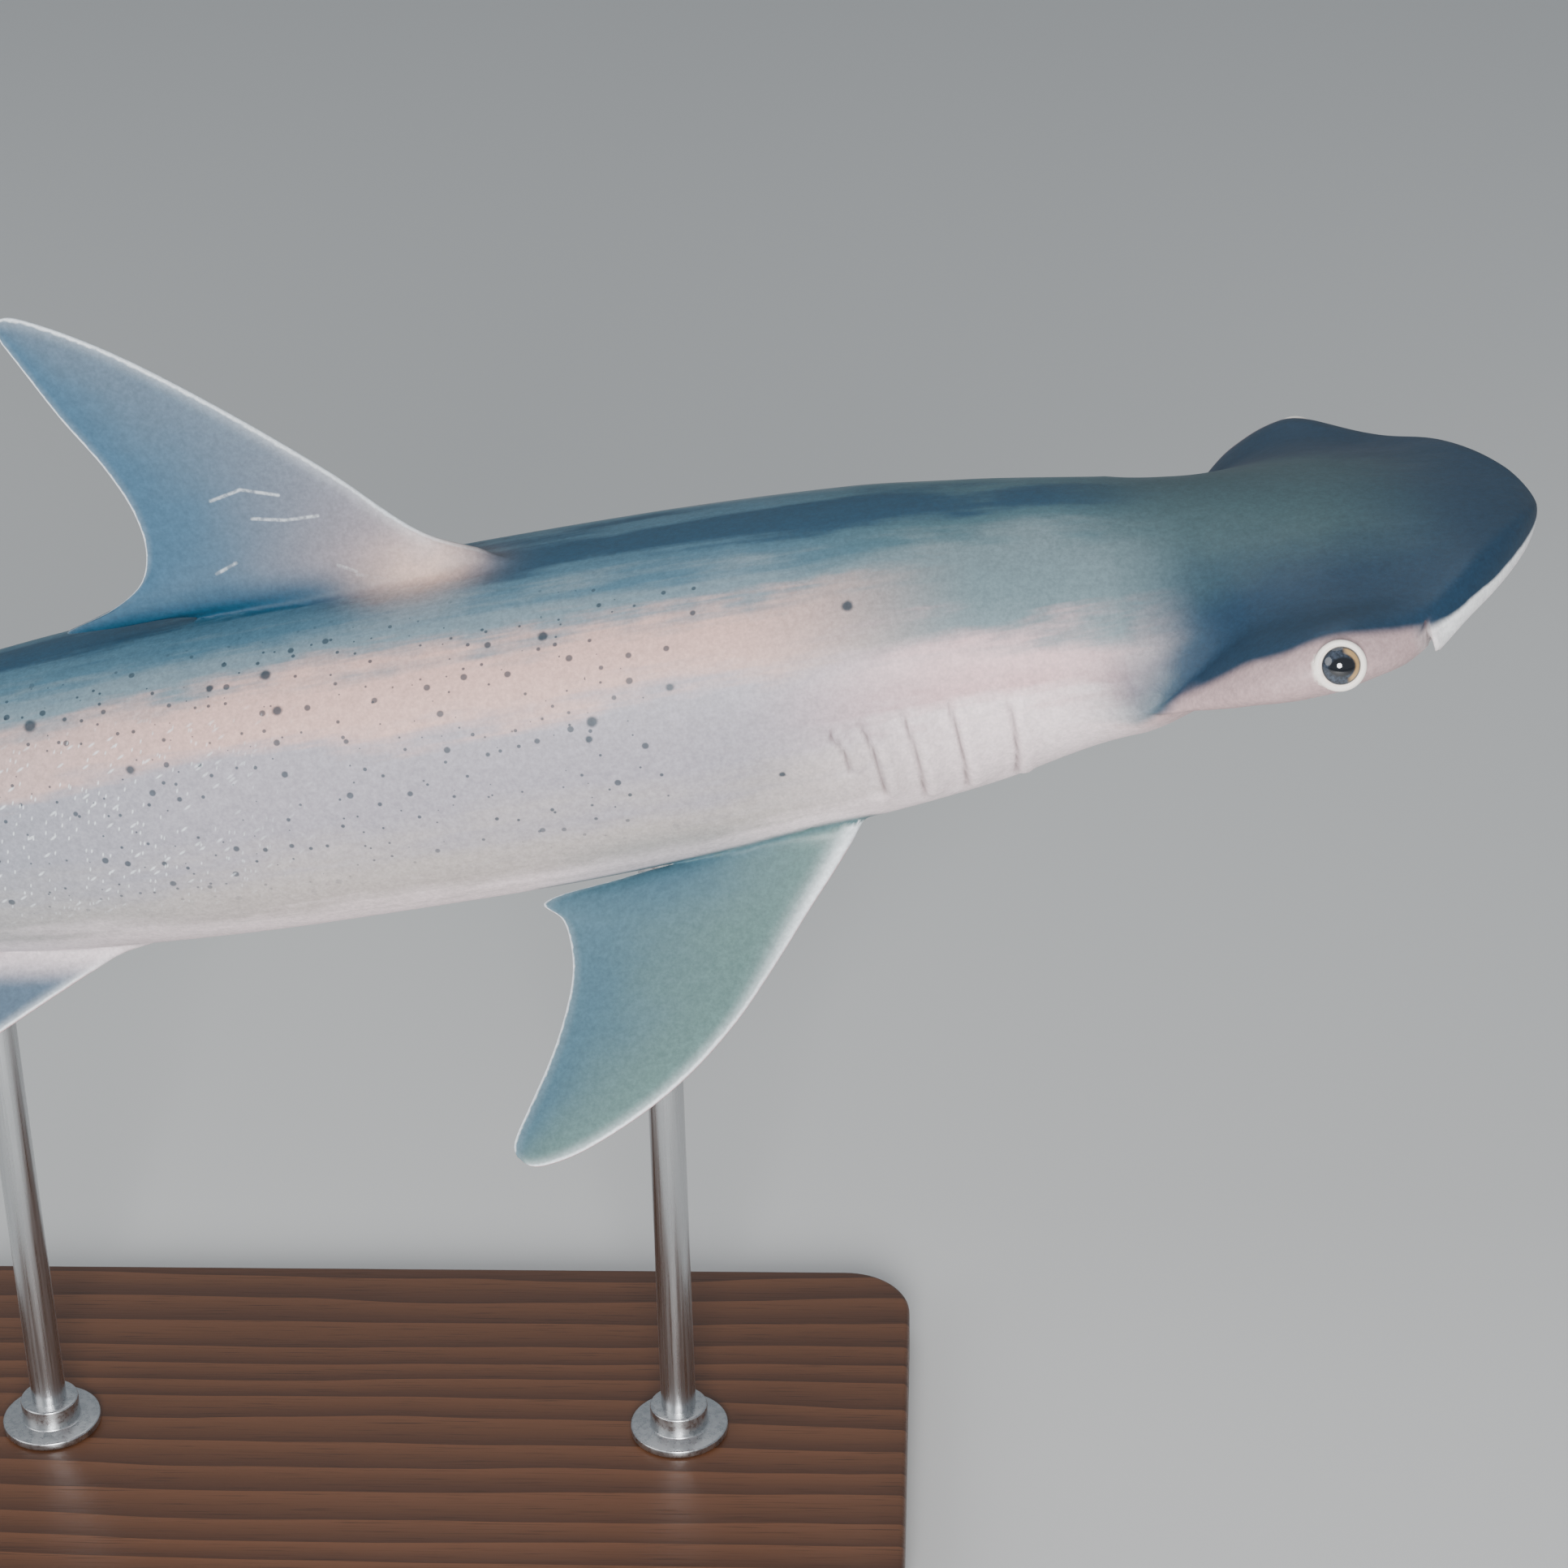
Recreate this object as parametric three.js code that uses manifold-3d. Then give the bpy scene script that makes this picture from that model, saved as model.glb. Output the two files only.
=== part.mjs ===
// A bonnethead, the small hammerhead shark with a shovel-shaped head, as a life-size display model.
// It swims with its nose up on a flat wooden base with two steel rods.
//
// Frame: millimetres, +Z up, nose towards +X, the shark's left side towards +Y, floor at Z = 0.
// The origin is on the floor, under the middle of the whole model's box.
//
// The shark is first modelled straight. A place on it is a station, the distance behind the tip of the
// snout, then a distance to the left, and a height above the level of that tip, in millimetres at
// MODELLED_LENGTH. posed() then rolls, bends, scales and pitches the shark and gives millimetres.

import * as THREE from "three";
import { mergeVertices } from "three/addons/utils/BufferGeometryUtils.js";
import Module from "manifold-3d";

const wasm = await Module();
wasm.setup();

// Driving sizes, in millimetres and degrees
const TOTAL_LENGTH = 975;
const PITCH = 11; // nose up
const TRUNK_ROLL = 1.5; // the back leans to the shark's right
const AXIS_HEIGHT = 285; // of the body's axis above the floor, at the pivot station
const CUT = 0.3; // gap between pieces that meet

const MODELLED_LENGTH = 975; // the length that the shapes below are drawn at
const SCALE = TOTAL_LENGTH / MODELLED_LENGTH;
const GAP = CUT / SCALE;

// Stations where the body is parted, from the snout back
const HEAD_END = 150;
const NECK_END = 236;
const TRUNK_MIDDLE = 352;
const TRUNK_END = 480;
const TAIL_START = 742;

// Stations of the pose
const PIVOT = 400;
const AXIS_LEVEL = -8;
const ROLL_STARTS = 150;
const ROLL_ENDS = 330;
const BEND = { starts: 470, length: 210, turn: 19 };
const COUNTER_BEND = { starts: 710, length: 240, turn: 12 };

const EYE = { station: 67, radius: 7.6, proud: 2.2, height: 2.6 };

const BASE = { length: 380, width: 190, thick: 18, corner: 24, edge: 2 };
const ROD = { radius: 6, depth: 24, stations: { front: 288, rear: 512 } };
const FLANGE = { radius: 17, rim: 3, boss: 10, height: 11 };

const radians = THREE.MathUtils.degToRad;
const smoothstep = (value, start, length) => THREE.MathUtils.smoothstep(value, start, start + length);

// A curve through [place, value] knots that never swings past them
function curveThrough(knots) {
  const last = knots.length - 1;
  const width = [];
  const rise = [];
  for (let i = 0; i < last; i++) {
    width.push(knots[i + 1][0] - knots[i][0]);
    rise.push((knots[i + 1][1] - knots[i][1]) / width[i]);
  }
  const slope = knots.map((_, i) => {
    if (i === 0) return rise[0];
    if (i === last) return rise[last - 1];
    if (rise[i - 1] * rise[i] <= 0) return 0;
    const before = 2 * width[i] + width[i - 1];
    const after = width[i] + 2 * width[i - 1];
    return (before + after) / (before / rise[i - 1] + after / rise[i]);
  });
  return (place) => {
    if (place <= knots[0][0]) return knots[0][1];
    if (place >= knots[last][0]) return knots[last][1];
    let i = 0;
    while (place > knots[i + 1][0]) i++;
    const t = (place - knots[i][0]) / width[i];
    const u = 1 - t;
    return (
      knots[i][1] * u * u * (1 + 2 * t) +
      knots[i + 1][1] * t * t * (3 - 2 * t) +
      width[i] * t * u * (slope[i] * u - slope[i + 1] * t)
    );
  };
}

// A rounded line through flat points, as a function of 0 to 1
function lineThrough(points) {
  const marks = [0];
  for (let i = 1; i < points.length; i++) {
    const [a, b] = [points[i - 1], points[i]];
    marks.push(marks[i - 1] + Math.sqrt(Math.hypot(b[0] - a[0], b[1] - a[1])));
  }
  const last = points.length - 1;
  const slope = (i, k) => {
    if (i === 0) return (points[1][k] - points[0][k]) / marks[1];
    if (i === last) return (points[last][k] - points[last - 1][k]) / (marks[last] - marks[last - 1]);
    const before = marks[i] - marks[i - 1];
    const after = marks[i + 1] - marks[i];
    const rise = (points[i][k] - points[i - 1][k]) / before;
    const next = (points[i + 1][k] - points[i][k]) / after;
    return (rise * after + next * before) / (before + after);
  };
  return (share) => {
    const mark = share * marks[last];
    let i = 0;
    while (i < last - 1 && mark > marks[i + 1]) i++;
    const width = marks[i + 1] - marks[i];
    const t = (mark - marks[i]) / width;
    const u = 1 - t;
    return [0, 1].map(
      (k) =>
        points[i][k] * u * u * (1 + 2 * t) +
        points[i + 1][k] * t * t * (3 - 2 * t) +
        width * t * u * (slope(i, k) * u - slope(i + 1, k) * t),
    );
  };
}

// The body's outline from above: half its width at each station. In front of the eyes the shovel's
// edge is an oval, a little pointed.
const SHOVEL = { half: 88, length: 70, point: 1.45 };
const widthBehindEyes = curveThrough([
  [70, 88],
  [78, 87.5],
  [86, 85],
  [95, 78.5],
  [105, 68.5],
  [115, 60],
  [126, 55],
  [146, 52],
  [172, 52.5],
  [206, 54],
  [270, 55.5],
  [328, 55],
  [390, 53],
  [460, 48.5],
  [520, 41.5],
  [580, 33.5],
  [640, 25.5],
  [700, 18],
  [742, 13],
  [770, 8.6],
  [800, 6],
  [840, 4.2],
  [880, 3],
  [920, 2.2],
  [942, 1.7],
]);
function halfWidth(station) {
  if (station >= SHOVEL.length) return widthBehindEyes(station);
  const ahead = (SHOVEL.length - Math.max(station, 0)) / SHOVEL.length;
  return SHOVEL.half * (1 - ahead ** SHOVEL.point) ** (1 / SHOVEL.point);
}

// Heights along the body: the back, the belly and the line where the body is widest
const back = curveThrough([
  [0, 5.5],
  [14, 9.8],
  [31, 13.5],
  [59, 19],
  [81, 22.5],
  [114, 27.5],
  [146, 33.5],
  [172, 37],
  [206, 41],
  [270, 43.5],
  [328, 44],
  [390, 43.5],
  [460, 40.5],
  [520, 35.5],
  [580, 29.5],
  [640, 23.5],
  [700, 18],
  [742, 16.5],
  [770, 27.5],
  [800, 40],
  [840, 57.5],
  [880, 74.5],
  [920, 91.5],
  [942, 100],
]);
const belly = curveThrough([
  [0, -2.5],
  [14, -5.8],
  [31, -9.5],
  [60, -14.5],
  [80, -20],
  [100, -28],
  [124, -37.5],
  [146, -44.5],
  [172, -51.5],
  [206, -55.5],
  [260, -59.5],
  [328, -61.5],
  [390, -61.5],
  [460, -59],
  [520, -52.5],
  [580, -44],
  [640, -34.5],
  [700, -25.5],
  [742, -19],
  [770, -5],
  [800, 16],
  [840, 41],
  [880, 64],
  [920, 86],
  [942, 97],
]);
const widest = curveThrough([
  [0, 1.5],
  [22, 0.6],
  [40, -3],
  [68, 1.5],
  [88, -3],
  [108, -13],
  [122, -17.5],
  [140, -14],
  [172, -8],
  [460, -9],
  [640, -5],
  [742, -2],
  [770, 11],
  [800, 28],
  [840, 49.5],
  [880, 69.5],
  [942, 98.5],
]);

// In the head a flat plate out to the rim carries a soft hump in the middle. The share of the height
// that is hump, the hump's half width, and how soft its sides are, all run into a plain round body.
const humpShareAbove = curveThrough([
  [0, 0],
  [20, 0.25],
  [45, 0.48],
  [68, 0.55],
  [90, 0.66],
  [108, 0.82],
  [126, 0.92],
]);
const humpShareBelow = curveThrough([
  [0, 0],
  [40, 0.15],
  [68, 0.22],
  [90, 0.5],
  [108, 0.7],
  [126, 0.9],
]);
const humpHalfWidth = curveThrough([
  [0, 60],
  [68, 62],
  [90, 59],
  [108, 56],
  [126, 55],
]);
const humpSoftness = curveThrough([
  [0, 2],
  [68, 1.9],
  [90, 1.4],
  [108, 0.85],
  [130, 0.5],
]);
const squareness = curveThrough([
  [130, 2],
  [200, 2.2],
  [330, 2.35],
  [460, 2.25],
  [640, 2],
]);
const HUMP_ENDS = 126;
const RIM_ROUNDING = 13;
const SNOUT_ROUNDING = 7;

// Height of the skin above or below the widest line, at a distance from the middle plane
function rise(station, side, upper) {
  const across = Math.min(Math.abs(side) / halfWidth(station), 1);
  const full = Math.abs((upper ? back(station) : belly(station)) - widest(station));
  const snout = 1 - Math.max(1 - station / SNOUT_ROUNDING, 0) ** 2;
  const share = (upper ? humpShareAbove : humpShareBelow)(station);
  const inHead = station < HUMP_ENDS;
  const reach = Math.min(inHead ? Math.abs(side) / humpHalfWidth(station) : across, 1);
  const power = squareness(station);
  const round = (1 - across ** power) ** (1 / power);
  const plate = inHead ? Math.sqrt(1 - across ** RIM_ROUNDING) : round;
  const hump = inHead ? (1 - reach * reach) ** humpSoftness(station) : round;
  return full * Math.sqrt(snout) * ((1 - share) * plate + share * hump);
}

function skinHeight(station, side, upper) {
  return widest(station) + (upper ? 1 : -1) * rise(station, side, upper);
}

// One ring of the body at a station, grown outwards a little where asked
function bodyRing(station, half, grow) {
  const ring = [];
  const stretch = 1 + grow / Math.max(halfWidth(station), 1);
  for (let i = 0; i < 2 * half; i++) {
    const turn = (Math.PI * i) / half;
    const side = halfWidth(station) * Math.cos(turn);
    const upper = i <= half;
    const swell = grow * Math.sin(turn);
    const height = skinHeight(station, side, upper) + swell;
    ring.push(new THREE.Vector3(-station, side * stretch, height));
  }
  return ring;
}

// Turns a triangle list into a solid, facing out
function solidOf(points, triangles) {
  const geometry = new THREE.BufferGeometry().setFromPoints(points);
  geometry.setIndex(triangles);
  return solidOfGeometry(geometry);
}

function solidOfGeometry(source) {
  const geometry = new THREE.BufferGeometry();
  geometry.setAttribute("position", source.getAttribute("position").clone());
  if (source.index) geometry.setIndex(source.index.clone());
  const merged = mergeVertices(geometry, 1e-4);
  const make = (order) =>
    new wasm.Manifold(
      new wasm.Mesh({
        numProp: 3,
        vertProperties: merged.attributes.position.array,
        triVerts: new Uint32Array(order),
      }),
    );
  const order = Array.from(merged.index.array);
  const solid = make(order);
  return solid.volume() > 0 ? solid : make(order.reverse());
}

// Skins a stack of equal rings and closes both ends on a point
function loft(rings, first, last) {
  const count = rings[0].length;
  const points = [first, ...rings.flat(), last];
  const triangles = [];
  const at = (ring, i) => 1 + ring * count + (i % count);
  for (let i = 0; i < count; i++) {
    triangles.push(0, at(0, i + 1), at(0, i));
    triangles.push(points.length - 1, at(rings.length - 1, i), at(rings.length - 1, i + 1));
    for (let ring = 0; ring < rings.length - 1; ring++) {
      const [a, b, c, d] = [at(ring, i), at(ring, i + 1), at(ring + 1, i + 1), at(ring + 1, i)];
      triangles.push(a, b, c, a, c, d);
    }
  }
  return solidOf(points, triangles);
}

const middleOf = (ring) =>
  ring.reduce((sum, point) => sum.add(point), new THREE.Vector3()).divideScalar(ring.length);

// Stations of the body's rings: close together at the snout, where the edge turns fast
function bodyStations() {
  const stations = [];
  const snoutRings = 9;
  const snoutLength = 66;
  for (let i = 1; i <= snoutRings; i++) stations.push(snoutLength * (i / snoutRings) ** 2);
  for (let station = 74; station < HEAD_END; station += 8) stations.push(station);
  for (let station = 154; station < TAIL_START; station += 21) stations.push(station);
  for (const station of [742, 756, 770, 785, 800, 820, 840, 860, 880, 900, 920]) stations.push(station);
  return stations;
}

const BODY_HALF_RING = 15;
const BODY_LAST = 942;
function body(grow = 0) {
  const rings = bodyStations().map((station) => bodyRing(station, BODY_HALF_RING, grow));
  const tip = new THREE.Vector3(grow, 0, 0);
  const end = new THREE.Vector3(-BODY_LAST, 0, widest(BODY_LAST));
  return loft(rings, tip, end);
}

// A block between two stations, leaving half the cut at each end
function slab(from, to) {
  const length = to - from - GAP;
  const box = new THREE.BoxGeometry(length, 400, 500);
  box.translate(-(from + to) / 2, 0, 0);
  return solidOfGeometry(box);
}

// Fins. An outline is a front edge and a rear edge, each from the root to the tip. Its points are
// [distance back, distance out] from the fin's front corner. thick is the blade's greatest half
// thickness at the root, and edge its half thickness all round.
const FIRST_DORSAL = {
  front: [
    [-6, -9],
    [0, 1],
    [22, 14],
    [45, 40],
    [71, 66.5],
    [97, 90],
    [116, 103.5],
    [126, 108.5],
    [130.5, 108.5],
  ],
  rear: [
    [90, -9],
    [98, 0],
    [128, 2.2],
    [141, 3.4],
    [125, 8],
    [113, 15],
    [108, 25],
    [107.5, 38],
    [111.5, 54],
    [120, 74],
    [127.5, 95],
    [131.3, 105.5],
  ],
  thick: 5.2,
  edge: 0.45,
  rows: 15,
};
const PECTORAL = {
  front: [
    [-4, -14],
    [-2, -3],
    [8, 11],
    [20, 25],
    [32, 39.5],
    [46, 55],
    [61, 67.5],
    [75, 76],
    [89, 82.2],
    [101, 86],
    [111, 87],
    [117, 86],
  ],
  rear: [
    [46, -14],
    [50, -3],
    [76, 0.5],
    [100, 1.5],
    [104, 3],
    [98.5, 9],
    [96.5, 17],
    [96.7, 28],
    [100.5, 41],
    [106, 53.5],
    [113, 66],
    [119, 77],
    [120.3, 82.5],
  ],
  thick: 5.4,
  edge: 0.45,
  rows: 15,
};
const PELVIC = {
  front: [
    [-2, -10],
    [0, -1],
    [12, 2.5],
    [22, 7.5],
    [40, 18.5],
    [56, 29],
    [67, 36.5],
    [73, 39.5],
  ],
  rear: [
    [48, -10],
    [52, -1],
    [78, 0.5],
    [100, 1.5],
    [101, 4],
    [93, 15],
    [84, 28],
    [77, 38],
  ],
  thick: 3.4,
  edge: 0.4,
  rows: 10,
};
const SECOND_DORSAL = {
  front: [
    [-3, -6],
    [0, 0.5],
    [12, 9],
    [26, 22],
    [39, 31],
    [47, 34],
  ],
  rear: [
    [36, -6],
    [41, 0],
    [62, 1],
    [79, 2],
    [66, 5.5],
    [56, 13],
    [51.5, 22],
    [50, 31],
  ],
  thick: 2.6,
  edge: 0.4,
  rows: 9,
};
const ANAL = {
  front: [
    [-3, -6],
    [0, 0.5],
    [18, 12],
    [37, 26],
    [51, 34.5],
    [59, 37],
  ],
  rear: [
    [58, -6],
    [63, 0],
    [84, 1],
    [100, 2],
    [86, 6],
    [74, 14],
    [66.5, 25],
    [63, 34],
  ],
  thick: 2.8,
  edge: 0.4,
  rows: 9,
};
// The tail fin's outlines are [station, height] on the middle plane
const UPPER_LOBE = {
  front: [
    [738, 6],
    [741, 17],
    [762, 27.5],
    [800, 45],
    [850, 67.5],
    [900, 89.5],
    [945, 109],
    [968, 118.5],
    [974, 120],
  ],
  rear: [
    [738, -16],
    [765, -22],
    [812, -2],
    [838, 15],
    [868, 35],
    [898, 51.5],
    [917, 61.5],
    [921, 66],
    [922, 74],
    [936, 76],
    [956, 77],
    [962, 82],
    [970, 102],
    [975.5, 117],
  ],
  thick: 2.2,
  edge: 0.45,
  rows: 18,
};
const LOWER_LOBE = {
  front: [
    [722, -10],
    [724, -24],
    [738, -41],
    [760, -67],
    [780, -88],
    [791, -98],
    [796, -101],
  ],
  rear: [
    [828, 26],
    [831, 9],
    [819, -12],
    [810, -35],
    [804, -62],
    [801, -88],
    [799.5, -98],
  ],
  thick: 4,
  edge: 0.45,
  rows: 11,
};

const FIN_CHORD = 7;
const BLADE_SHAPE = { rise: 0.5, fall: 1.1, scale: 1.72 };

// One fin as a solid. place(back, out, aside) gives the straight shark's coordinates.
function fin(outline, place) {
  const front = lineThrough(outline.front);
  const rear = lineThrough(outline.rear);
  const ringAt = (share) => {
    const [a, b] = [front(share), rear(share)];
    const strength = outline.thick * (1 - share) ** 0.75;
    const blade = (chord, aside) => {
      const point = [0, 1].map((k) => a[k] + (b[k] - a[k]) * chord);
      return place(point[0], point[1], aside);
    };
    const ring = [];
    for (let i = 0; i < 2 * FIN_CHORD; i++) {
      const turn = (Math.PI * i) / FIN_CHORD;
      const chord = (1 - Math.cos(turn)) / 2;
      const swell = BLADE_SHAPE.scale * chord ** BLADE_SHAPE.rise * (1 - chord) ** BLADE_SHAPE.fall;
      const edge = outline.edge * Math.min(1, 6 * Math.abs(Math.sin(turn)) + 0.4);
      const side = i === 0 || i === FIN_CHORD ? 0 : Math.sign(Math.sin(turn));
      ring.push(blade(chord, side * (strength * swell + edge)));
    }
    return ring;
  };
  const rings = [];
  for (let row = 0; row < outline.rows; row++) rings.push(ringAt(row / (outline.rows - 0.6)));
  const [tipFront, tipRear] = [front(1), rear(1)];
  const tip = place((tipFront[0] + tipRear[0]) / 2, (tipFront[1] + tipRear[1]) / 2, 0);
  return loft(rings, middleOf(rings[0]), tip);
}

// A fin on the middle plane stands on the back or hangs under the belly between two stations
function midlineFin(outline, from, to, upper) {
  const height = (station) => skinHeight(station, 0, upper);
  const root = new THREE.Vector3(-from, 0, height(from));
  const along = new THREE.Vector3(-to, 0, height(to)).sub(root).normalize();
  const out = new THREE.Vector3(along.z, 0, -along.x).multiplyScalar(upper ? 1 : -1);
  return fin(outline, (away, up, aside) =>
    root
      .clone()
      .addScaledVector(along, away)
      .addScaledVector(out, up)
      .add(new THREE.Vector3(0, aside, 0)),
  );
}

// A paired fin leaves the lower side of the body, drooping by an angle below level. side is 1 on the
// left and -1 on the right, and seat is its distance from the middle as a share of the half width.
function pairedFin(outline, from, base, seat, droop, curl, side) {
  const seatAt = (station) => {
    const off = seat * halfWidth(station);
    return new THREE.Vector3(-station, side * off, skinHeight(station, off, false));
  };
  const root = seatAt(from);
  const along = seatAt(from + base).sub(root).normalize();
  const outAt = (angle) => new THREE.Vector3(0, side * Math.cos(angle), -Math.sin(angle));
  const bladeUp = outAt(radians(droop - 90));
  return fin(outline, (away, out, aside) =>
    root
      .clone()
      .addScaledVector(along, away)
      .addScaledVector(outAt(radians(droop)), out)
      .addScaledVector(bladeUp, aside + (curl * Math.max(out, 0) ** 2) / 90),
  );
}

const tailFin = (outline) =>
  fin(outline, (station, height, aside) => new THREE.Vector3(-station, aside, height));

const PECTORAL_SEAT = { from: 217, base: 50, seat: 0.6, droop: 41, curl: 0.06 };
const PELVIC_SEAT = { from: 446, base: 50, seat: 0.42, droop: 36, curl: 0.04 };
const FIRST_DORSAL_BASE = [311, 409];
const SECOND_DORSAL_BASE = [632, 673];
const ANAL_BASE = [602, 665];

const seated = (outline, { from, base, seat, droop, curl }, side) =>
  pairedFin(outline, from, base, seat, droop, curl, side);

// Mouth: an arch under the head. The lower jaw is what lies inside it.
const MOUTH = { front: 80, corner: 106, half: 34, rear: 138, depth: 13, lip: 1.1 };
function jawBlock(inset) {
  const shape = new THREE.Shape();
  const steps = 10;
  for (let i = 0; i <= steps; i++) {
    const across = 1 - (2 * i) / steps;
    const side = across * (MOUTH.half - inset);
    const station = MOUTH.front + inset + (MOUTH.corner - MOUTH.front) * across ** 2;
    if (i === 0) shape.moveTo(-station, side);
    else shape.lineTo(-station, side);
  }
  shape.lineTo(-(MOUTH.rear - inset), -(MOUTH.half - inset));
  shape.lineTo(-(MOUTH.rear - inset), MOUTH.half - inset);
  const height = 60;
  const geometry = new THREE.ExtrudeGeometry(shape, { depth: height, bevelEnabled: false });
  geometry.translate(0, 0, -MOUTH.depth - inset - height);
  return solidOfGeometry(geometry);
}

// Gill slits: five on each side. Their places are [station, height of the middle, length, and how far
// the top leans forward in degrees].
const GILLS = [
  [166.5, -25, 33, 5],
  [182.5, -23, 36, 2],
  [196, -23, 36, 0],
  [208, -20, 31, -4],
  [217, -14, 16, -14],
];
const GILL_SLOT = { width: 1.2, depth: 4.5, tuck: 25 };
function gillSlot([station, height, length, lean], side) {
  const slot = new THREE.BoxGeometry(GILL_SLOT.width, 2 * GILL_SLOT.depth, length);
  slot.rotateY(radians(lean));
  const off = halfWidth(station) * 0.93;
  slot.rotateX(radians(-GILL_SLOT.tuck * side));
  slot.translate(-station, side * off, height);
  return solidOfGeometry(slot);
}

// Nostrils: a notch in the front edge of the head, a little in front of each eye
const NOSTRIL = { station: 39, inset: 4, width: 2, length: 13, tall: 9, turn: 62 };
function nostrilNotch(side) {
  const notch = new THREE.BoxGeometry(NOSTRIL.length, NOSTRIL.width, NOSTRIL.tall);
  notch.rotateZ(radians(side * NOSTRIL.turn));
  const off = halfWidth(NOSTRIL.station) - NOSTRIL.inset;
  notch.translate(-NOSTRIL.station, side * off, -NOSTRIL.tall / 2);
  return solidOfGeometry(notch);
}

function eyeBall(side, radius) {
  const ball = new THREE.SphereGeometry(radius, 14, 10);
  const off = halfWidth(EYE.station) + EYE.proud - EYE.radius;
  ball.translate(-EYE.station, side * off, EYE.height);
  return solidOfGeometry(ball);
}

// The middle line of the posed body from above, one entry for each station
function spinePath() {
  const path = [{ x: 0, y: 0, turn: 0 }];
  for (let station = 1; station <= 1020; station++) {
    const turn = radians(
      BEND.turn * smoothstep(station, BEND.starts, BEND.length) -
        COUNTER_BEND.turn * smoothstep(station, COUNTER_BEND.starts, COUNTER_BEND.length),
    );
    const before = path[station - 1];
    path.push({ x: before.x - Math.cos(turn), y: before.y + Math.sin(turn), turn });
  }
  return path;
}
const SPINE = spinePath();

// From the straight shark to the swimming one: roll, bend, scale, pitch and lift
function posed(point) {
  const station = Math.max(-point.x, 0);
  const roll = radians(TRUNK_ROLL) * smoothstep(station, ROLL_STARTS, ROLL_ENDS - ROLL_STARTS);
  const [up, side] = [point.z - AXIS_LEVEL, point.y];
  const rolledSide = side * Math.cos(roll) - up * Math.sin(roll);
  const rolledUp = AXIS_LEVEL + up * Math.cos(roll) + side * Math.sin(roll);
  const [near, share] = [Math.floor(station), station % 1];
  const [a, b] = [SPINE[near], SPINE[near + 1]];
  const turn = a.turn + (b.turn - a.turn) * share;
  const x = a.x + (b.x - a.x) * share + Math.max(point.x, 0) + rolledSide * Math.sin(turn);
  const y = a.y + (b.y - a.y) * share + rolledSide * Math.cos(turn);
  const [ahead, above] = [x + PIVOT, rolledUp - AXIS_LEVEL];
  const pitch = radians(PITCH);
  return new THREE.Vector3(
    SCALE * (ahead * Math.cos(pitch) - above * Math.sin(pitch)),
    SCALE * y,
    SCALE * (ahead * Math.sin(pitch) + above * Math.cos(pitch)) + AXIS_HEIGHT,
  );
}

function posedSolid(solid) {
  return solid.warp((v) => {
    const place = posed(new THREE.Vector3(v[0], v[1], v[2]));
    [v[0], v[1], v[2]] = [place.x, place.y, place.z];
  });
}

// Colours and finishes, from the photo
const MATERIALS = {
  back: { color: 0x5d6f7d, roughness: 0.5, metalness: 0 },
  flank: { color: 0xa9a3a2, roughness: 0.5, metalness: 0 },
  fin: { color: 0x7f909b, roughness: 0.5, metalness: 0 },
  eye: { color: 0x20242a, roughness: 0.15, metalness: 0 },
  steel: { color: 0xb9bcc0, roughness: 0.3, metalness: 1 },
  wood: { color: 0x5b3a26, roughness: 0.45, metalness: 0 },
};

const model = new THREE.Group();
model.name = "bonnethead";

function addPiece(name, solid, material) {
  const { vertProperties, triVerts } = solid.getMesh();
  const geometry = new THREE.BufferGeometry();
  geometry.setAttribute("position", new THREE.BufferAttribute(new Float32Array(vertProperties), 3));
  geometry.setIndex(new THREE.BufferAttribute(new Uint32Array(triVerts), 1));
  geometry.computeVertexNormals();
  const mesh = new THREE.Mesh(geometry, new THREE.MeshStandardMaterial(MATERIALS[material]));
  mesh.name = name;
  model.add(mesh);
}

const SIDES = [
  ["left", 1],
  ["right", -1],
];

// Where a rod meets the belly
const rodSeat = (station) => posed(new THREE.Vector3(-station, 0, skinHeight(station, 0, false)));

// A steel rod from the base up into a socket in the belly
function rodAt(station, grow = 0) {
  const seat = rodSeat(station);
  const top = seat.z + ROD.depth + grow;
  const bottom = BASE.thick + CUT - grow;
  const rod = new THREE.CylinderGeometry(ROD.radius + grow, ROD.radius + grow, top - bottom, 24);
  rod.rotateX(Math.PI / 2);
  rod.translate(seat.x, seat.y, (top + bottom) / 2);
  return solidOfGeometry(rod);
}

function flangeAt(station) {
  const seat = rodSeat(station);
  const hole = ROD.radius + CUT;
  const profile = [
    [hole, 0],
    [FLANGE.radius, 0],
    [FLANGE.radius, FLANGE.rim - 0.8],
    [FLANGE.radius - 0.8, FLANGE.rim],
    [FLANGE.boss, FLANGE.rim],
    [FLANGE.boss, FLANGE.height - 1],
    [FLANGE.boss - 1, FLANGE.height],
    [hole, FLANGE.height],
    [hole, 0],
  ].map(([x, y]) => new THREE.Vector2(x, y));
  const flange = new THREE.LatheGeometry(profile, 24);
  flange.rotateX(Math.PI / 2);
  flange.translate(seat.x, seat.y, BASE.thick + CUT);
  return solidOfGeometry(flange);
}

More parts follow.
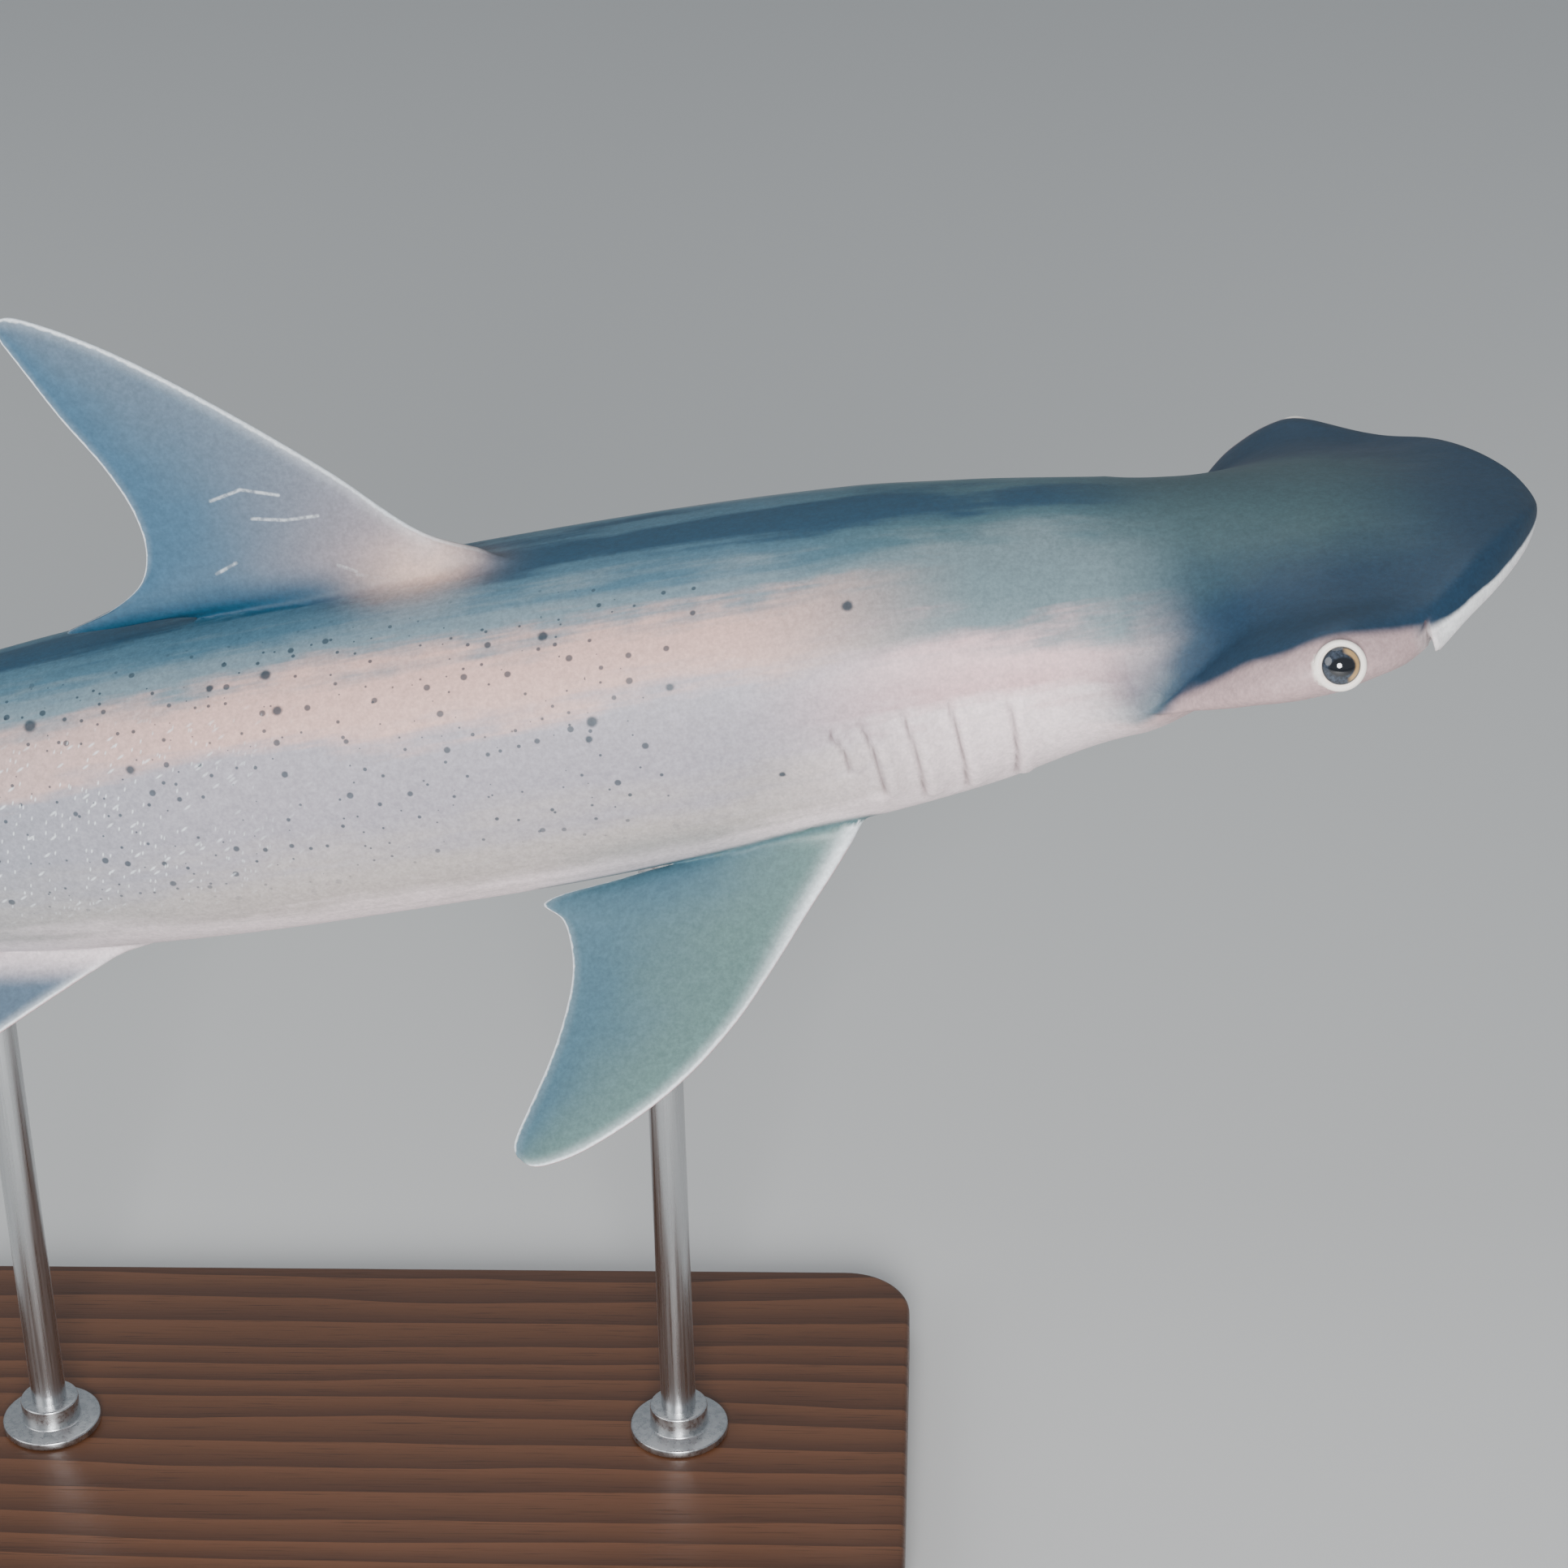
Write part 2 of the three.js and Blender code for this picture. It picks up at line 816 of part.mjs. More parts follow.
function standBase() {
  const shape = new THREE.Shape();
  const { length, width, thick, corner, edge } = BASE;
  const [x, y] = [length / 2 - edge, width / 2 - edge];
  const round = corner - edge;
  shape.moveTo(-x + round, -y);
  shape.lineTo(x - round, -y);
  shape.absarc(x - round, -y + round, round, -Math.PI / 2, 0);
  shape.absarc(x - round, y - round, round, 0, Math.PI / 2);
  shape.absarc(-x + round, y - round, round, Math.PI / 2, Math.PI);
  shape.absarc(-x + round, -y + round, round, Math.PI, 1.5 * Math.PI);
  const slabBody = new THREE.ExtrudeGeometry(shape, {
    depth: thick - 2 * edge,
    bevelEnabled: true,
    bevelSize: edge,
    bevelThickness: edge,
    bevelSegments: 2,
    curveSegments: 8,
  });
  const seats = Object.values(ROD.stations).map(rodSeat);
  slabBody.translate((seats[0].x + seats[1].x) / 2, (seats[0].y + seats[1].y) / 2, edge);
  return solidOfGeometry(slabBody);
}

// The flesh, straight
const wholeBody = body();
const around = body(GAP);
const eyeSockets = SIDES.map(([, side]) => eyeBall(side, EYE.radius + GAP));
const notches = SIDES.map(([, side]) => nostrilNotch(side));
const headAndJaw = wholeBody.intersect(slab(-20, HEAD_END));
const head = [...eyeSockets, ...notches, jawBlock(0)].reduce((rest, cut) => rest.subtract(cut), headAndJaw);
const jaw = headAndJaw.intersect(jawBlock(GAP)).subtract(slab(-20, MOUTH.front + MOUTH.lip));
const slots = SIDES.flatMap(([, side]) => GILLS.map((gill) => gillSlot(gill, side)));
const neck = slots.reduce(
  (rest, slot) => rest.subtract(slot),
  wholeBody.intersect(slab(HEAD_END, NECK_END)),
);
addPiece("head", posedSolid(head), "back");
addPiece("lower_jaw", posedSolid(jaw), "flank");
addPiece("neck", posedSolid(neck), "flank");

// The trunk, with a socket for each rod
const trunkParts = [
  ["trunk_front", NECK_END, TRUNK_MIDDLE],
  ["trunk_rear", TRUNK_MIDDLE, TRUNK_END],
  ["tail_stock", TRUNK_END, TAIL_START],
];
for (const [name, from, to] of trunkParts) {
  const part = posedSolid(wholeBody.intersect(slab(from, to)));
  const sockets = Object.values(ROD.stations).map((station) => rodAt(station, CUT));
  addPiece(name, sockets.reduce((rest, socket) => rest.subtract(socket), part), "flank");
}

// The tail fin is one blade round the end of the spine, parted along a sloping cut
function tailSplit(above) {
  const block = new THREE.BoxGeometry(700, 60, 200);
  block.translate(0, 0, above ? 100 + GAP / 2 : -100 - GAP / 2);
  block.rotateY(radians(17));
  block.translate(-780, 0, -11);
  return solidOfGeometry(block);
}
const tailBlade = wholeBody.add(tailFin(UPPER_LOBE)).add(tailFin(LOWER_LOBE));
const behindStock = tailBlade.subtract(body(GAP).intersect(slab(500, TAIL_START + 2 * GAP)));
const beforeTail = slab(300, 720);
const tail = behindStock.subtract(beforeTail).subtract(wholeBody.intersect(slab(0, TAIL_START + GAP)));
addPiece("caudal_upper_lobe", posedSolid(largest(tail.intersect(tailSplit(true)))), "fin");
addPiece("caudal_lower_lobe", posedSolid(largest(tail.intersect(tailSplit(false)))), "fin");

function largest(solid) {
  return solid.decompose().sort((a, b) => b.volume() - a.volume())[0];
}

// A fin's root is trimmed to the skin, and what the trim leaves inside the body is dropped
const trimmed = (piece) => posedSolid(largest(piece.subtract(around)));
addPiece("dorsal_fin_first", trimmed(midlineFin(FIRST_DORSAL, ...FIRST_DORSAL_BASE, true)), "fin");
addPiece("dorsal_fin_second", trimmed(midlineFin(SECOND_DORSAL, ...SECOND_DORSAL_BASE, true)), "fin");
addPiece("anal_fin", trimmed(midlineFin(ANAL, ...ANAL_BASE, false)), "fin");
for (const [name, side] of SIDES) {
  addPiece(`pectoral_fin_${name}`, trimmed(seated(PECTORAL, PECTORAL_SEAT, side)), "fin");
  addPiece(`pelvic_fin_${name}`, trimmed(seated(PELVIC, PELVIC_SEAT, side)), "fin");
  addPiece(`eye_${name}`, posedSolid(eyeBall(side, EYE.radius)), "eye");
}

// The stand
addPiece("stand_base", standBase(), "wood");
for (const [name, station] of Object.entries(ROD.stations)) {
  addPiece(`stand_rod_${name}`, rodAt(station), "steel");
  addPiece(`stand_flange_${name}`, flangeAt(station), "steel");
}

// The origin goes under the middle of the model's box
const box = new THREE.Box3().setFromObject(model);
const middle = box.getCenter(new THREE.Vector3());
model.position.set(-middle.x, -middle.y, 0);

export default model;
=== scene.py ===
"""A bonnethead shark on its display stand: one skin over the shape model, two eyes, a stand and a studio."""

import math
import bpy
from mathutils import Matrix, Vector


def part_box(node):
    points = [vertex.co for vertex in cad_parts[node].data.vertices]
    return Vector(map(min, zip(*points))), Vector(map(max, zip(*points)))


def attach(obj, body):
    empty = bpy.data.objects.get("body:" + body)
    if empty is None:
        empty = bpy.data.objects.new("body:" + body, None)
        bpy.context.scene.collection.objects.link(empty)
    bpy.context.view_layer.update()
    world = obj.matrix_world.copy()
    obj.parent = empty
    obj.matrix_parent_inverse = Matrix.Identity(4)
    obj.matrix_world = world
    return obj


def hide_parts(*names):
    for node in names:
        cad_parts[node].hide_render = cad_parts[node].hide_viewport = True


bl_info = {
    "name": "Bonnethead Shark",
    "version": (1, 0, 0),
    "blender": (4, 5, 0),
    "location": "View3D > Sidebar > Shark",
    "description": "Builds a life-size bonnethead shark model on its display stand",
    "category": "Add Mesh",
}

import bpy
import numpy as np
from bpy.props import FloatProperty, FloatVectorProperty, IntProperty, PointerProperty
from bpy.types import Operator, Panel, PropertyGroup
from mathutils import Matrix, Vector
from mathutils.kdtree import KDTree

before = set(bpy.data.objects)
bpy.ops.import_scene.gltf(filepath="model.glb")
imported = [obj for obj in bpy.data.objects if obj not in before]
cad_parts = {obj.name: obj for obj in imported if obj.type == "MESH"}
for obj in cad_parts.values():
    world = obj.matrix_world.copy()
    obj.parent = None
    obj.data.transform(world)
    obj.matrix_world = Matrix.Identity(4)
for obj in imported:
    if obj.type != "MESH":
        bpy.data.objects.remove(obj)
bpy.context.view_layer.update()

MM = 0.001

# The pose, as in the shape model: millimetres, degrees and stations behind the tip of the snout
PITCH = 11
TRUNK_ROLL = 1.5
AXIS_HEIGHT = 285
PIVOT = 400
AXIS_LEVEL = -8
ROLL_STARTS, ROLL_ENDS = 150, 330
BEND = (470, 210, 19)
COUNTER_BEND = (710, 240, 12)
FRONT_ROD_STATION = 288


def span(t, width, start, end, leaving, arriving):
    """A cubic span at t, from 0 to 1, between two values with the slopes it leaves and arrives with."""
    u = 1 - t
    ends = start * u * u * (1 + 2 * t) + end * t * t * (3 - 2 * t)
    return ends + width * t * u * (leaving * u - arriving * t)


def curve_through(*knots):
    """A function through (place, value) knots that never swings past them."""
    place, value = np.array(knots, float).T
    width = np.diff(place)
    rise = np.diff(value) / width
    slope = np.zeros(len(place))
    slope[0], slope[-1] = rise[0], rise[-1]
    for i in range(1, len(place) - 1):
        if rise[i - 1] * rise[i] > 0:
            before, after = 2 * width[i] + width[i - 1], width[i] + 2 * width[i - 1]
            slope[i] = (before + after) / (before / rise[i - 1] + after / rise[i])

    def read(x):
        x = np.clip(x, place[0], place[-1])
        i = np.clip(np.searchsorted(place, x, side="right") - 1, 0, len(width) - 1)
        t = (x - place[i]) / width[i]
        return span(t, width[i], value[i], value[i + 1], slope[i], slope[i + 1])

    return read


def line_through(points):
    """A rounded line through flat points, as a function of 0 to 1."""
    points = np.array(points, float)
    marks = np.r_[0, np.cumsum(np.sqrt(np.linalg.norm(np.diff(points, axis=0), axis=1)))]
    width = np.diff(marks)[:, None]
    rise = np.diff(points, axis=0) / width
    slope = np.empty_like(points)
    slope[0], slope[-1] = rise[0], rise[-1]
    slope[1:-1] = (rise[:-1] * width[1:] + rise[1:] * width[:-1]) / (width[1:] + width[:-1])

    def read(share):
        mark = np.clip(share, 0, 1) * marks[-1]
        i = np.clip(np.searchsorted(marks, mark, side="right") - 1, 0, len(width) - 1)
        t = ((mark - marks[i]) / width[i, 0])[:, None]
        return span(t, width[i], points[i], points[i + 1], slope[i], slope[i + 1])

    return read


def way_round(station, tone):
    """Distance round the body from its widest line, where tone runs from -1 at the belly to 1 at the back."""
    return tone * math.pi / 4 * (half_width(station) + (back(station) - belly(station)) / 2)


def tone_at(station, height):
    """-1 on the belly's middle line, 0 on the widest line and 1 on the back's middle line, evenly round."""
    middle = widest(station)
    above = (height - middle) / np.maximum(back(station) - middle, 1)
    beneath = (height - middle) / np.maximum(middle - belly(station), 1)
    return np.arcsin(np.clip(np.where(height > middle, above, beneath), -1, 1)) * 2 / math.pi


def bell(x, middle, width):
    """1 at the middle, falling off to both sides."""
    return np.exp(-(((x - middle) / width) ** 2))


def smooth_step(x, start, end):
    """0 before start, 1 after end and an even blend between them."""
    t = np.clip((x - start) / (end - start), 0, 1)
    return t * t * (3 - 2 * t)


# The body's shape along its stations, in millimetres
SHOVEL_HALF, SHOVEL_LENGTH, SHOVEL_POINT = 88, 70, 1.45
HUMP_ENDS, SNOUT_ROUNDING = 126, 7
TAIL_FIN_STATION, TAIL_END = 735, 942
width_behind_eyes = curve_through(
    (70, 88), (78, 87.5), (86, 85), (95, 78.5), (105, 68.5), (115, 60), (126, 55), (146, 52),
    (172, 52.5), (206, 54), (270, 55.5), (328, 55), (390, 53), (460, 48.5), (520, 41.5),
    (580, 33.5), (640, 25.5), (700, 18), (742, 13), (770, 8.6), (800, 6), (840, 4.2), (880, 3),
    (920, 2.2), (942, 1.7),
)
back = curve_through(
    (0, 5.5), (14, 9.8), (31, 13.5), (59, 19), (81, 22.5), (114, 27.5), (146, 33.5), (172, 37),
    (206, 41), (270, 43.5), (328, 44), (390, 43.5), (460, 40.5), (520, 35.5), (580, 29.5),
    (640, 23.5), (700, 18), (742, 16.5), (770, 27.5), (800, 40), (840, 57.5), (880, 74.5),
    (920, 91.5), (942, 100),
)
belly = curve_through(
    (0, -2.5), (14, -5.8), (31, -9.5), (60, -14.5), (80, -20), (100, -28), (124, -37.5),
    (146, -44.5), (172, -51.5), (206, -55.5), (260, -59.5), (328, -61.5), (390, -61.5), (460, -59),
    (520, -52.5), (580, -44), (640, -34.5), (700, -25.5), (742, -19), (770, -5), (800, 16),
    (840, 41), (880, 64), (920, 86), (942, 97),
)
widest = curve_through(
    (0, 1.5), (22, 0.6), (40, -3), (68, 1.5), (88, -3), (108, -13), (122, -17.5), (140, -14), (172, -8),
    (460, -9), (640, -5), (742, -2), (770, 11), (800, 28), (840, 49.5), (880, 69.5), (942, 98.5),
)
# A low hump runs along the head's middle over its flat plate: its share of the height, width and softness
hump_share_above = curve_through(
    (0, 0), (20, 0.25), (45, 0.48), (68, 0.55), (90, 0.66), (108, 0.82), (126, 0.92),
)
hump_share_below = curve_through((0, 0), (40, 0.15), (68, 0.22), (90, 0.5), (108, 0.7), (126, 0.9))
hump_half_width = curve_through((0, 60), (68, 62), (90, 59), (108, 56), (126, 55))
hump_softness = curve_through((0, 2), (68, 1.9), (90, 1.4), (108, 0.85), (130, 0.5))
# Where the head's dark top ends: how far in from the rim, and how far over the widest line
dark_top_inset = curve_through(
    (30, -2), (40, 1), (54, 5), (73, 7.5), (88, 7.5), (102, 5), (113, 2), (122, -3),
)
dark_top_border = curve_through(
    (0, -1.2), (17, -0.8), (30, 1.2), (40, 3.5), (108, 3.5), (118, 0), (128, -6),
)
# The powers that round the head's rim and the body's cross section
rim_rounding = curve_through((0, 13), (34, 12), (58, 8), (110, 7.5), (126, 9))
squareness = curve_through((130, 2), (200, 2.2), (330, 2.35), (460, 2.25), (640, 2))


def half_width(station):
    """Half the body's width."""
    ahead = np.clip((SHOVEL_LENGTH - station) / SHOVEL_LENGTH, 0, 1)
    shovel = SHOVEL_HALF * (1 - ahead**SHOVEL_POINT) ** (1 / SHOVEL_POINT)
    return np.where(station < SHOVEL_LENGTH, shovel, width_behind_eyes(station))


def share_out(station, side):
    """0 on the middle line and 1 on the body's outline from above."""
    return np.minimum(np.abs(side) / np.maximum(half_width(station), 1e-6), 1)


def skin_height(station, side, upper):
    """Height of the skin over a place in plan, on the upper or the lower side."""
    station, side, upper = np.broadcast_arrays(station, side, upper)
    across = share_out(station, side)
    edge = np.where(upper, back(station), belly(station))
    snout = 1 - np.maximum(1 - station / SNOUT_ROUNDING, 0) ** 2
    share = np.where(upper, hump_share_above(station), hump_share_below(station))
    in_head = station < HUMP_ENDS
    reach = np.where(in_head, np.minimum(np.abs(side) / hump_half_width(station), 1), across)
    power = squareness(station)
    round_body = (1 - across**power) ** (1 / power)
    plate = np.where(in_head, np.sqrt(1 - across ** rim_rounding(station)), round_body)
    hump = np.where(in_head, (1 - reach * reach) ** hump_softness(station), round_body)
    full = (edge - widest(station)) * np.sqrt(snout)
    height = widest(station) + full * ((1 - share) * plate + share * hump)
    # the wings' ends are a little thicker over the eyes
    brow = BROW_HEIGHT * bell(station, EYE_STATION, BROW_LENGTH) * smooth_step(across, 0.72, 0.9)
    return height + np.where(upper & in_head, brow * plate, 0)


# Fins: front and rear edges from root to tip as (distance back, distance out), the blade's greatest
# half thickness, and its half thickness at the edges
FINS = {
    "first_dorsal": dict(
        front=((-6, -9), (0, 1), (22, 14), (45, 40), (71, 66.5), (97, 90), (116, 103.5), (126, 108.5),
               (130.5, 108.5)),
        rear=((90, -9), (98, 0), (128, 2.2), (141, 3.4), (125, 8), (113, 15), (108, 25), (107.5, 38),
              (111.5, 54), (120, 74), (127.5, 95), (131.3, 105.5)),
        thick=5.2, edge=0.45, flare=4.5,
    ),
    "pectoral": dict(
        front=((-4, -14), (-2, -3), (8, 11), (20, 25), (32, 39.5), (46, 55), (61, 67.5), (75, 76), (89, 82.2),
               (101, 86), (111, 87), (117, 86)),
        rear=((46, -14), (50, -3), (76, 0.5), (100, 1.5), (104, 3), (98.5, 9), (96.5, 17), (96.7, 28),
              (100.5, 41), (106, 53.5), (113, 66), (119, 77), (120.3, 82.5)),
        thick=5.4, edge=0.45, flare=3.5,
    ),
    "pelvic": dict(
        front=((-2, -10), (0, -1), (12, 2.5), (22, 7.5), (40, 18.5), (56, 29), (67, 36.5), (73, 39.5)),
        rear=((48, -10), (52, -1), (78, 0.5), (100, 1.5), (101, 4), (93, 15), (84, 28), (77, 38)),
        thick=3.4, edge=0.4, flare=2,
    ),
    "second_dorsal": dict(
        front=((-3, -6), (0, 0.5), (12, 9), (26, 22), (39, 31), (47, 34)),
        rear=((36, -6), (41, 0), (62, 1), (79, 2), (66, 5.5), (56, 13), (51.5, 22), (50, 31)),
        thick=2.6, edge=0.4, flare=1.5,
    ),
    "anal": dict(
        front=((-3, -6), (0, 0.5), (18, 12), (37, 26), (51, 34.5), (59, 37)),
        rear=((58, -6), (63, 0), (84, 1), (100, 2), (86, 6), (74, 14), (66.5, 25), (63, 34)),
        thick=2.8, edge=0.4, flare=1.5,
    ),
    "upper_lobe": dict(
        front=((738, 6), (741, 17), (762, 27.5), (800, 45), (850, 67.5), (900, 89.5), (945, 109),
               (968, 118.5), (974, 120)),
        rear=((738, -16), (765, -22), (812, -2), (838, 15), (868, 35), (898, 51.5), (917, 61.5), (921, 66),
              (922, 74), (936, 76), (956, 77), (962, 82), (970, 102), (975.5, 117)),
        thick=2.2, edge=0.45, flare=0,
    ),
    "lower_lobe": dict(
        front=((722, -10), (724, -24), (738, -41), (760, -67), (780, -88), (791, -98), (796, -101)),
        rear=((828, 26), (831, 9), (819, -12), (810, -35), (804, -62), (801, -88), (799.5, -98)),
        thick=4, edge=0.45, flare=0,
    ),
}
# Stations between which the head's colours give way to the body's
HEAD_COLOUR_ENDS = (102, 152)
# The right and left sides' flat coordinates are this far apart, so that their specks differ
SIDES_APART = 500
# Distance to the edge, chord and paleness of places that are on no fin
FAR_FROM_FINS = (20.0, 0.5, 0.0)
# Where the fins' own colour begins and is full, in millimetres from the body
FIN_COLOUR_STARTS = {"first": (2, 15), "pectoral": (-1, 0.6), "pelvic": (2, 12)}
# Where each middle fin's root starts and ends, and whether it is on the back
MIDLINE_FINS = {
    "first_dorsal": (311, 409, True),
    "second_dorsal": (632, 673, True),
    "anal": (602, 665, False),
}
# Paired fins: where the root starts, its length, its share of the half width, droop in degrees and curl
PAIRED_FINS = {"pectoral": (217, 50, 0.6, 41, 0.06), "pelvic": (446, 50, 0.42, 36, 0.04)}

# The stand's flanges, in metres: height of the rim and radius of the boss round the rod
FLANGE_RIM, FLANGE_BOSS = 0.003, 0.01

# Gill slits on each side: top and bottom as (station, height)
GILLS = (
    ((164.5, -7), (168, -42)),
    ((182, -4), (183, -42)),
    ((196, -4), (196, -41.5)),
    ((209, -4.5), (207, -36)),
    ((219, -6.5), (215, -22)),
)
# How far each slit bows back, its width and depth, and the hollow behind the last one
GILL_BOW, GILL_WIDTH, GILL_DEPTH = 1.6, 0.6, 1.9
HOLLOW_DEPTH, HOLLOW_STATION, HOLLOW_HEIGHT = 2.2, 240, -24
# The mouth's arch: stations of its middle and corners, half its width, and its depth
MOUTH_FRONT, MOUTH_CORNER, MOUTH_HALF, MOUTH_DEPTH = 80, 106, 34, 2.2
NOSTRIL_STATION, NOSTRIL_DEPTH, NOSTRIL_FLAP = 39, 2.6, 1.8
# The eyes: station, radius, how far the ball stands out, and its height on the left (1) and right (-1)
EYE_STATION, EYE_RADIUS, EYE_PROUD = 67, 6.9, 2.8
EYE_HEIGHT = {1: -0.3, -1: 2.1}
BROW_HEIGHT, BROW_LENGTH = 2.4, 15


def spine_path():
    """The posed middle line from above, one row of x, y and turn for each station."""
    path = [(0.0, 0.0, 0.0)]
    for station in range(1, 1021):
        turn = math.radians(
            BEND[2] * smooth_step(station, BEND[0], BEND[0] + BEND[1])
            - COUNTER_BEND[2] * smooth_step(station, COUNTER_BEND[0], COUNTER_BEND[0] + COUNTER_BEND[1])
        )
        x, y, _ = path[-1]
        path.append((x - math.cos(turn), y + math.sin(turn), turn))
    return np.array(path)


SPINE = spine_path()


def posed(points):
    """The straight shark's places, in millimetres, as places of the swimming shark over the stand."""
    station = np.maximum(-points[:, 0], 0)
    roll = math.radians(TRUNK_ROLL) * smooth_step(station, ROLL_STARTS, ROLL_ENDS)
    up, side = points[:, 2] - AXIS_LEVEL, points[:, 1]
    rolled_side = side * np.cos(roll) - up * np.sin(roll)
    rolled_up = up * np.cos(roll) + side * np.sin(roll)
    rows = np.arange(len(SPINE))
    x, y, turn = (np.interp(station, rows, SPINE[:, k]) for k in range(3))
    x = x + np.maximum(points[:, 0], 0) + rolled_side * np.sin(turn)
    y = y + rolled_side * np.cos(turn)
    ahead, pitch = x + PIVOT, math.radians(PITCH)
    return np.stack(
        (
            ahead * math.cos(pitch) - rolled_up * math.sin(pitch),
            y,
            ahead * math.sin(pitch) + rolled_up * math.cos(pitch) + AXIS_HEIGHT,
        ),
        axis=1,
    )


def on_stand(points):
    """Posed places in metres in the shape model's frame, found from its front rod."""
    seat = posed(np.array([[-FRONT_ROD_STATION, 0, skin_height(FRONT_ROD_STATION, 0, False)]]))[0]
    low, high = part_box("stand_rod_front")
    rod = (low + high) / 2 / MM
    return (posed(points) + np.array([rod.x - seat[0], rod.y - seat[1], 0])) * MM


def deselect():
    """Nothing is left selected."""
    bpy.ops.object.select_all(action="DESELECT")


def rows_of_three(source, key):
    """What each vertex or normal holds, one row each."""
    flat = np.empty(len(source) * 3)
    source.foreach_get(key, flat)
    return flat.reshape(-1, 3)


def places(obj):
    """The mesh's vertices."""
    return rows_of_three(obj.data.vertices, "co")


def vertex_normals(obj):
    """The mesh's vertex normals."""
    return rows_of_three(obj.data.vertex_normals, "vector")


def set_places(obj, points):
    """Moves the mesh's vertices."""
    obj.data.vertices.foreach_set("co", np.ascontiguousarray(points, dtype=float).ravel())
    obj.data.update()


def make_active(obj):
    """Selects this object alone."""
    deselect()
    obj.select_set(True)
    bpy.context.view_layer.objects.active = obj


def face_outwards(obj):
    """Faces point out of the closed mesh."""
    make_active(obj)
    bpy.ops.object.mode_set(mode="EDIT")
    bpy.ops.mesh.select_all(action="SELECT")
    bpy.ops.mesh.normals_make_consistent(inside=False)
    bpy.ops.object.mode_set(mode="OBJECT")


def store(obj, name, values):
    """Keeps a number, or three, for each vertex, for the materials to read."""
    values = np.asarray(values, float)
    kind = "FLOAT" if values.ndim == 1 else "FLOAT_VECTOR"
    layer = obj.data.attributes.new(name, kind, "POINT")
    layer.data.foreach_set("value" if values.ndim == 1 else "vector", np.ascontiguousarray(values).ravel())


def apply_modifier(obj, kind, **settings):
    """Adds a modifier, sets it and applies it."""
    make_active(obj)
    modifier = obj.modifiers.new(kind.title(), kind)
    for key, value in settings.items():
        setattr(modifier, key, value)
    bpy.ops.object.modifier_apply(modifier=modifier.name)


def tube(name, segments, rings, placer):
    """A sphere whose rings and segments are laid out by placer(ring, segment)."""
    deselect()
    bpy.ops.mesh.primitive_uv_sphere_add(segments=segments, ring_count=rings, radius=1)
    obj = bpy.context.object
    obj.name = name
    at = places(obj)
    ring = np.rint(np.arccos(np.clip(at[:, 2], -1, 1)) / math.pi * rings).astype(int)
    segment = np.rint(np.arctan2(at[:, 1], at[:, 0]) / math.tau * segments).astype(int) % segments
    set_places(obj, placer(ring, segment))
    face_outwards(obj)
    return obj


def body_stations(settings):
    """Stations of the body's rings, close together where the shape turns fast."""
    snout = 66 * (np.arange(1, settings.snout_rings + 1) / settings.snout_rings) ** 2
    return np.r_[
        0,
        snout,
        np.arange(67.1, 150, 1.15),
        np.arange(150.5, 232, 0.95),
        np.arange(234, 742, settings.trunk_step),
        np.arange(742, TAIL_END - 3, 4),
        TAIL_END,
    ]


def make_body(settings):
    """The body and head without fins, straight."""
    stations = body_stations(settings)
    count = settings.segments

    def placer(ring, segment):
        turn = math.tau * segment / count
        station = stations[ring]
        side = half_width(station) * np.cos(turn)
        last = ring == len(stations) - 1
        side = np.where(last | (ring == 0), 0, side)
        height = skin_height(station, side, np.sin(turn) >= 0)
        height = np.where(last, widest(TAIL_END), np.where(ring == 0, widest(0), height))
        return np.stack((-station, side, height), axis=1)

    return tube("body", count, len(stations) - 1, placer)


def make_fin(name, outline, place, chord_steps, rows):
    """One fin as a closed blade, with places on it and their distance to the edge, chord and paleness."""
    front, rear = line_through(outline["front"]), line_through(outline["rear"])

    def layout(ring, segment):
        share = np.clip((ring - 1) / (rows - 2 + 0.35), 0, 1)
        share = np.where(ring == rows, 1, share)
        a, b = front(share), rear(share)
        turn = math.pi * segment / chord_steps
        chord = (1 - np.cos(turn)) / 2
        chord = np.where((ring == 0) | (ring == rows), 0.5, chord)
        flat = a + (b - a) * chord[:, None]
        length = np.linalg.norm(b - a, axis=1)
        swell = 1.72 * chord**0.5 * (1 - chord) ** 1.1
        strength = outline["thick"] * (1 - share) ** 0.75
        strength = strength + outline["flare"] * np.exp(-np.maximum(flat[:, 1], 0) / 6)
        rim = outline["edge"] * np.minimum(1, 6 * np.abs(np.sin(turn)) + 0.4)
        aside = np.sign(np.round(np.sin(turn), 6)) * (strength * swell + rim)
        aside = np.where((ring == 0) | (ring == rows), 0, aside)
        to_front, to_rear = chord * length, (1 - chord) * length
        span = max(outline["front"][-1][1], 1) if outline["flare"] else 60
        tip = (1 - share) * span
        edge = np.minimum(np.minimum(to_front, to_rear), tip)
        pale = 0.85 * bell(to_front, 0, 4) * (1 - smooth_step(share, 0.12, 0.5))
        pale = pale + 0.35 * bell(to_front, 0, 2.2)
        return place(flat[:, 0], flat[:, 1], aside), np.stack((edge, chord, pale), axis=1)

    obj = tube(name, 2 * chord_steps, rows, lambda ring, segment: layout(ring, segment)[0])
    # the same layout again, for the values that go with each vertex
    ring = np.repeat(np.arange(1, rows), 2 * chord_steps)
    segment = np.tile(np.arange(2 * chord_steps), rows - 1)
    return obj, *layout(ring, segment)


def midline_place(start, end, upper):
    """Places a fin on the middle plane, on the back or under the belly."""
    low, high = float(skin_height(start, 0, upper)), float(skin_height(end, 0, upper))
    along = Vector((-(end - start), 0, high - low)).normalized()
    out = Vector((along.z, 0, -along.x)) * (1 if upper else -1)

    def place(away, up, aside):
        root = np.array([-start, 0, low])
        return root + np.outer(away, along) + np.outer(up, out) + np.outer(aside, (0, 1, 0))

    return place


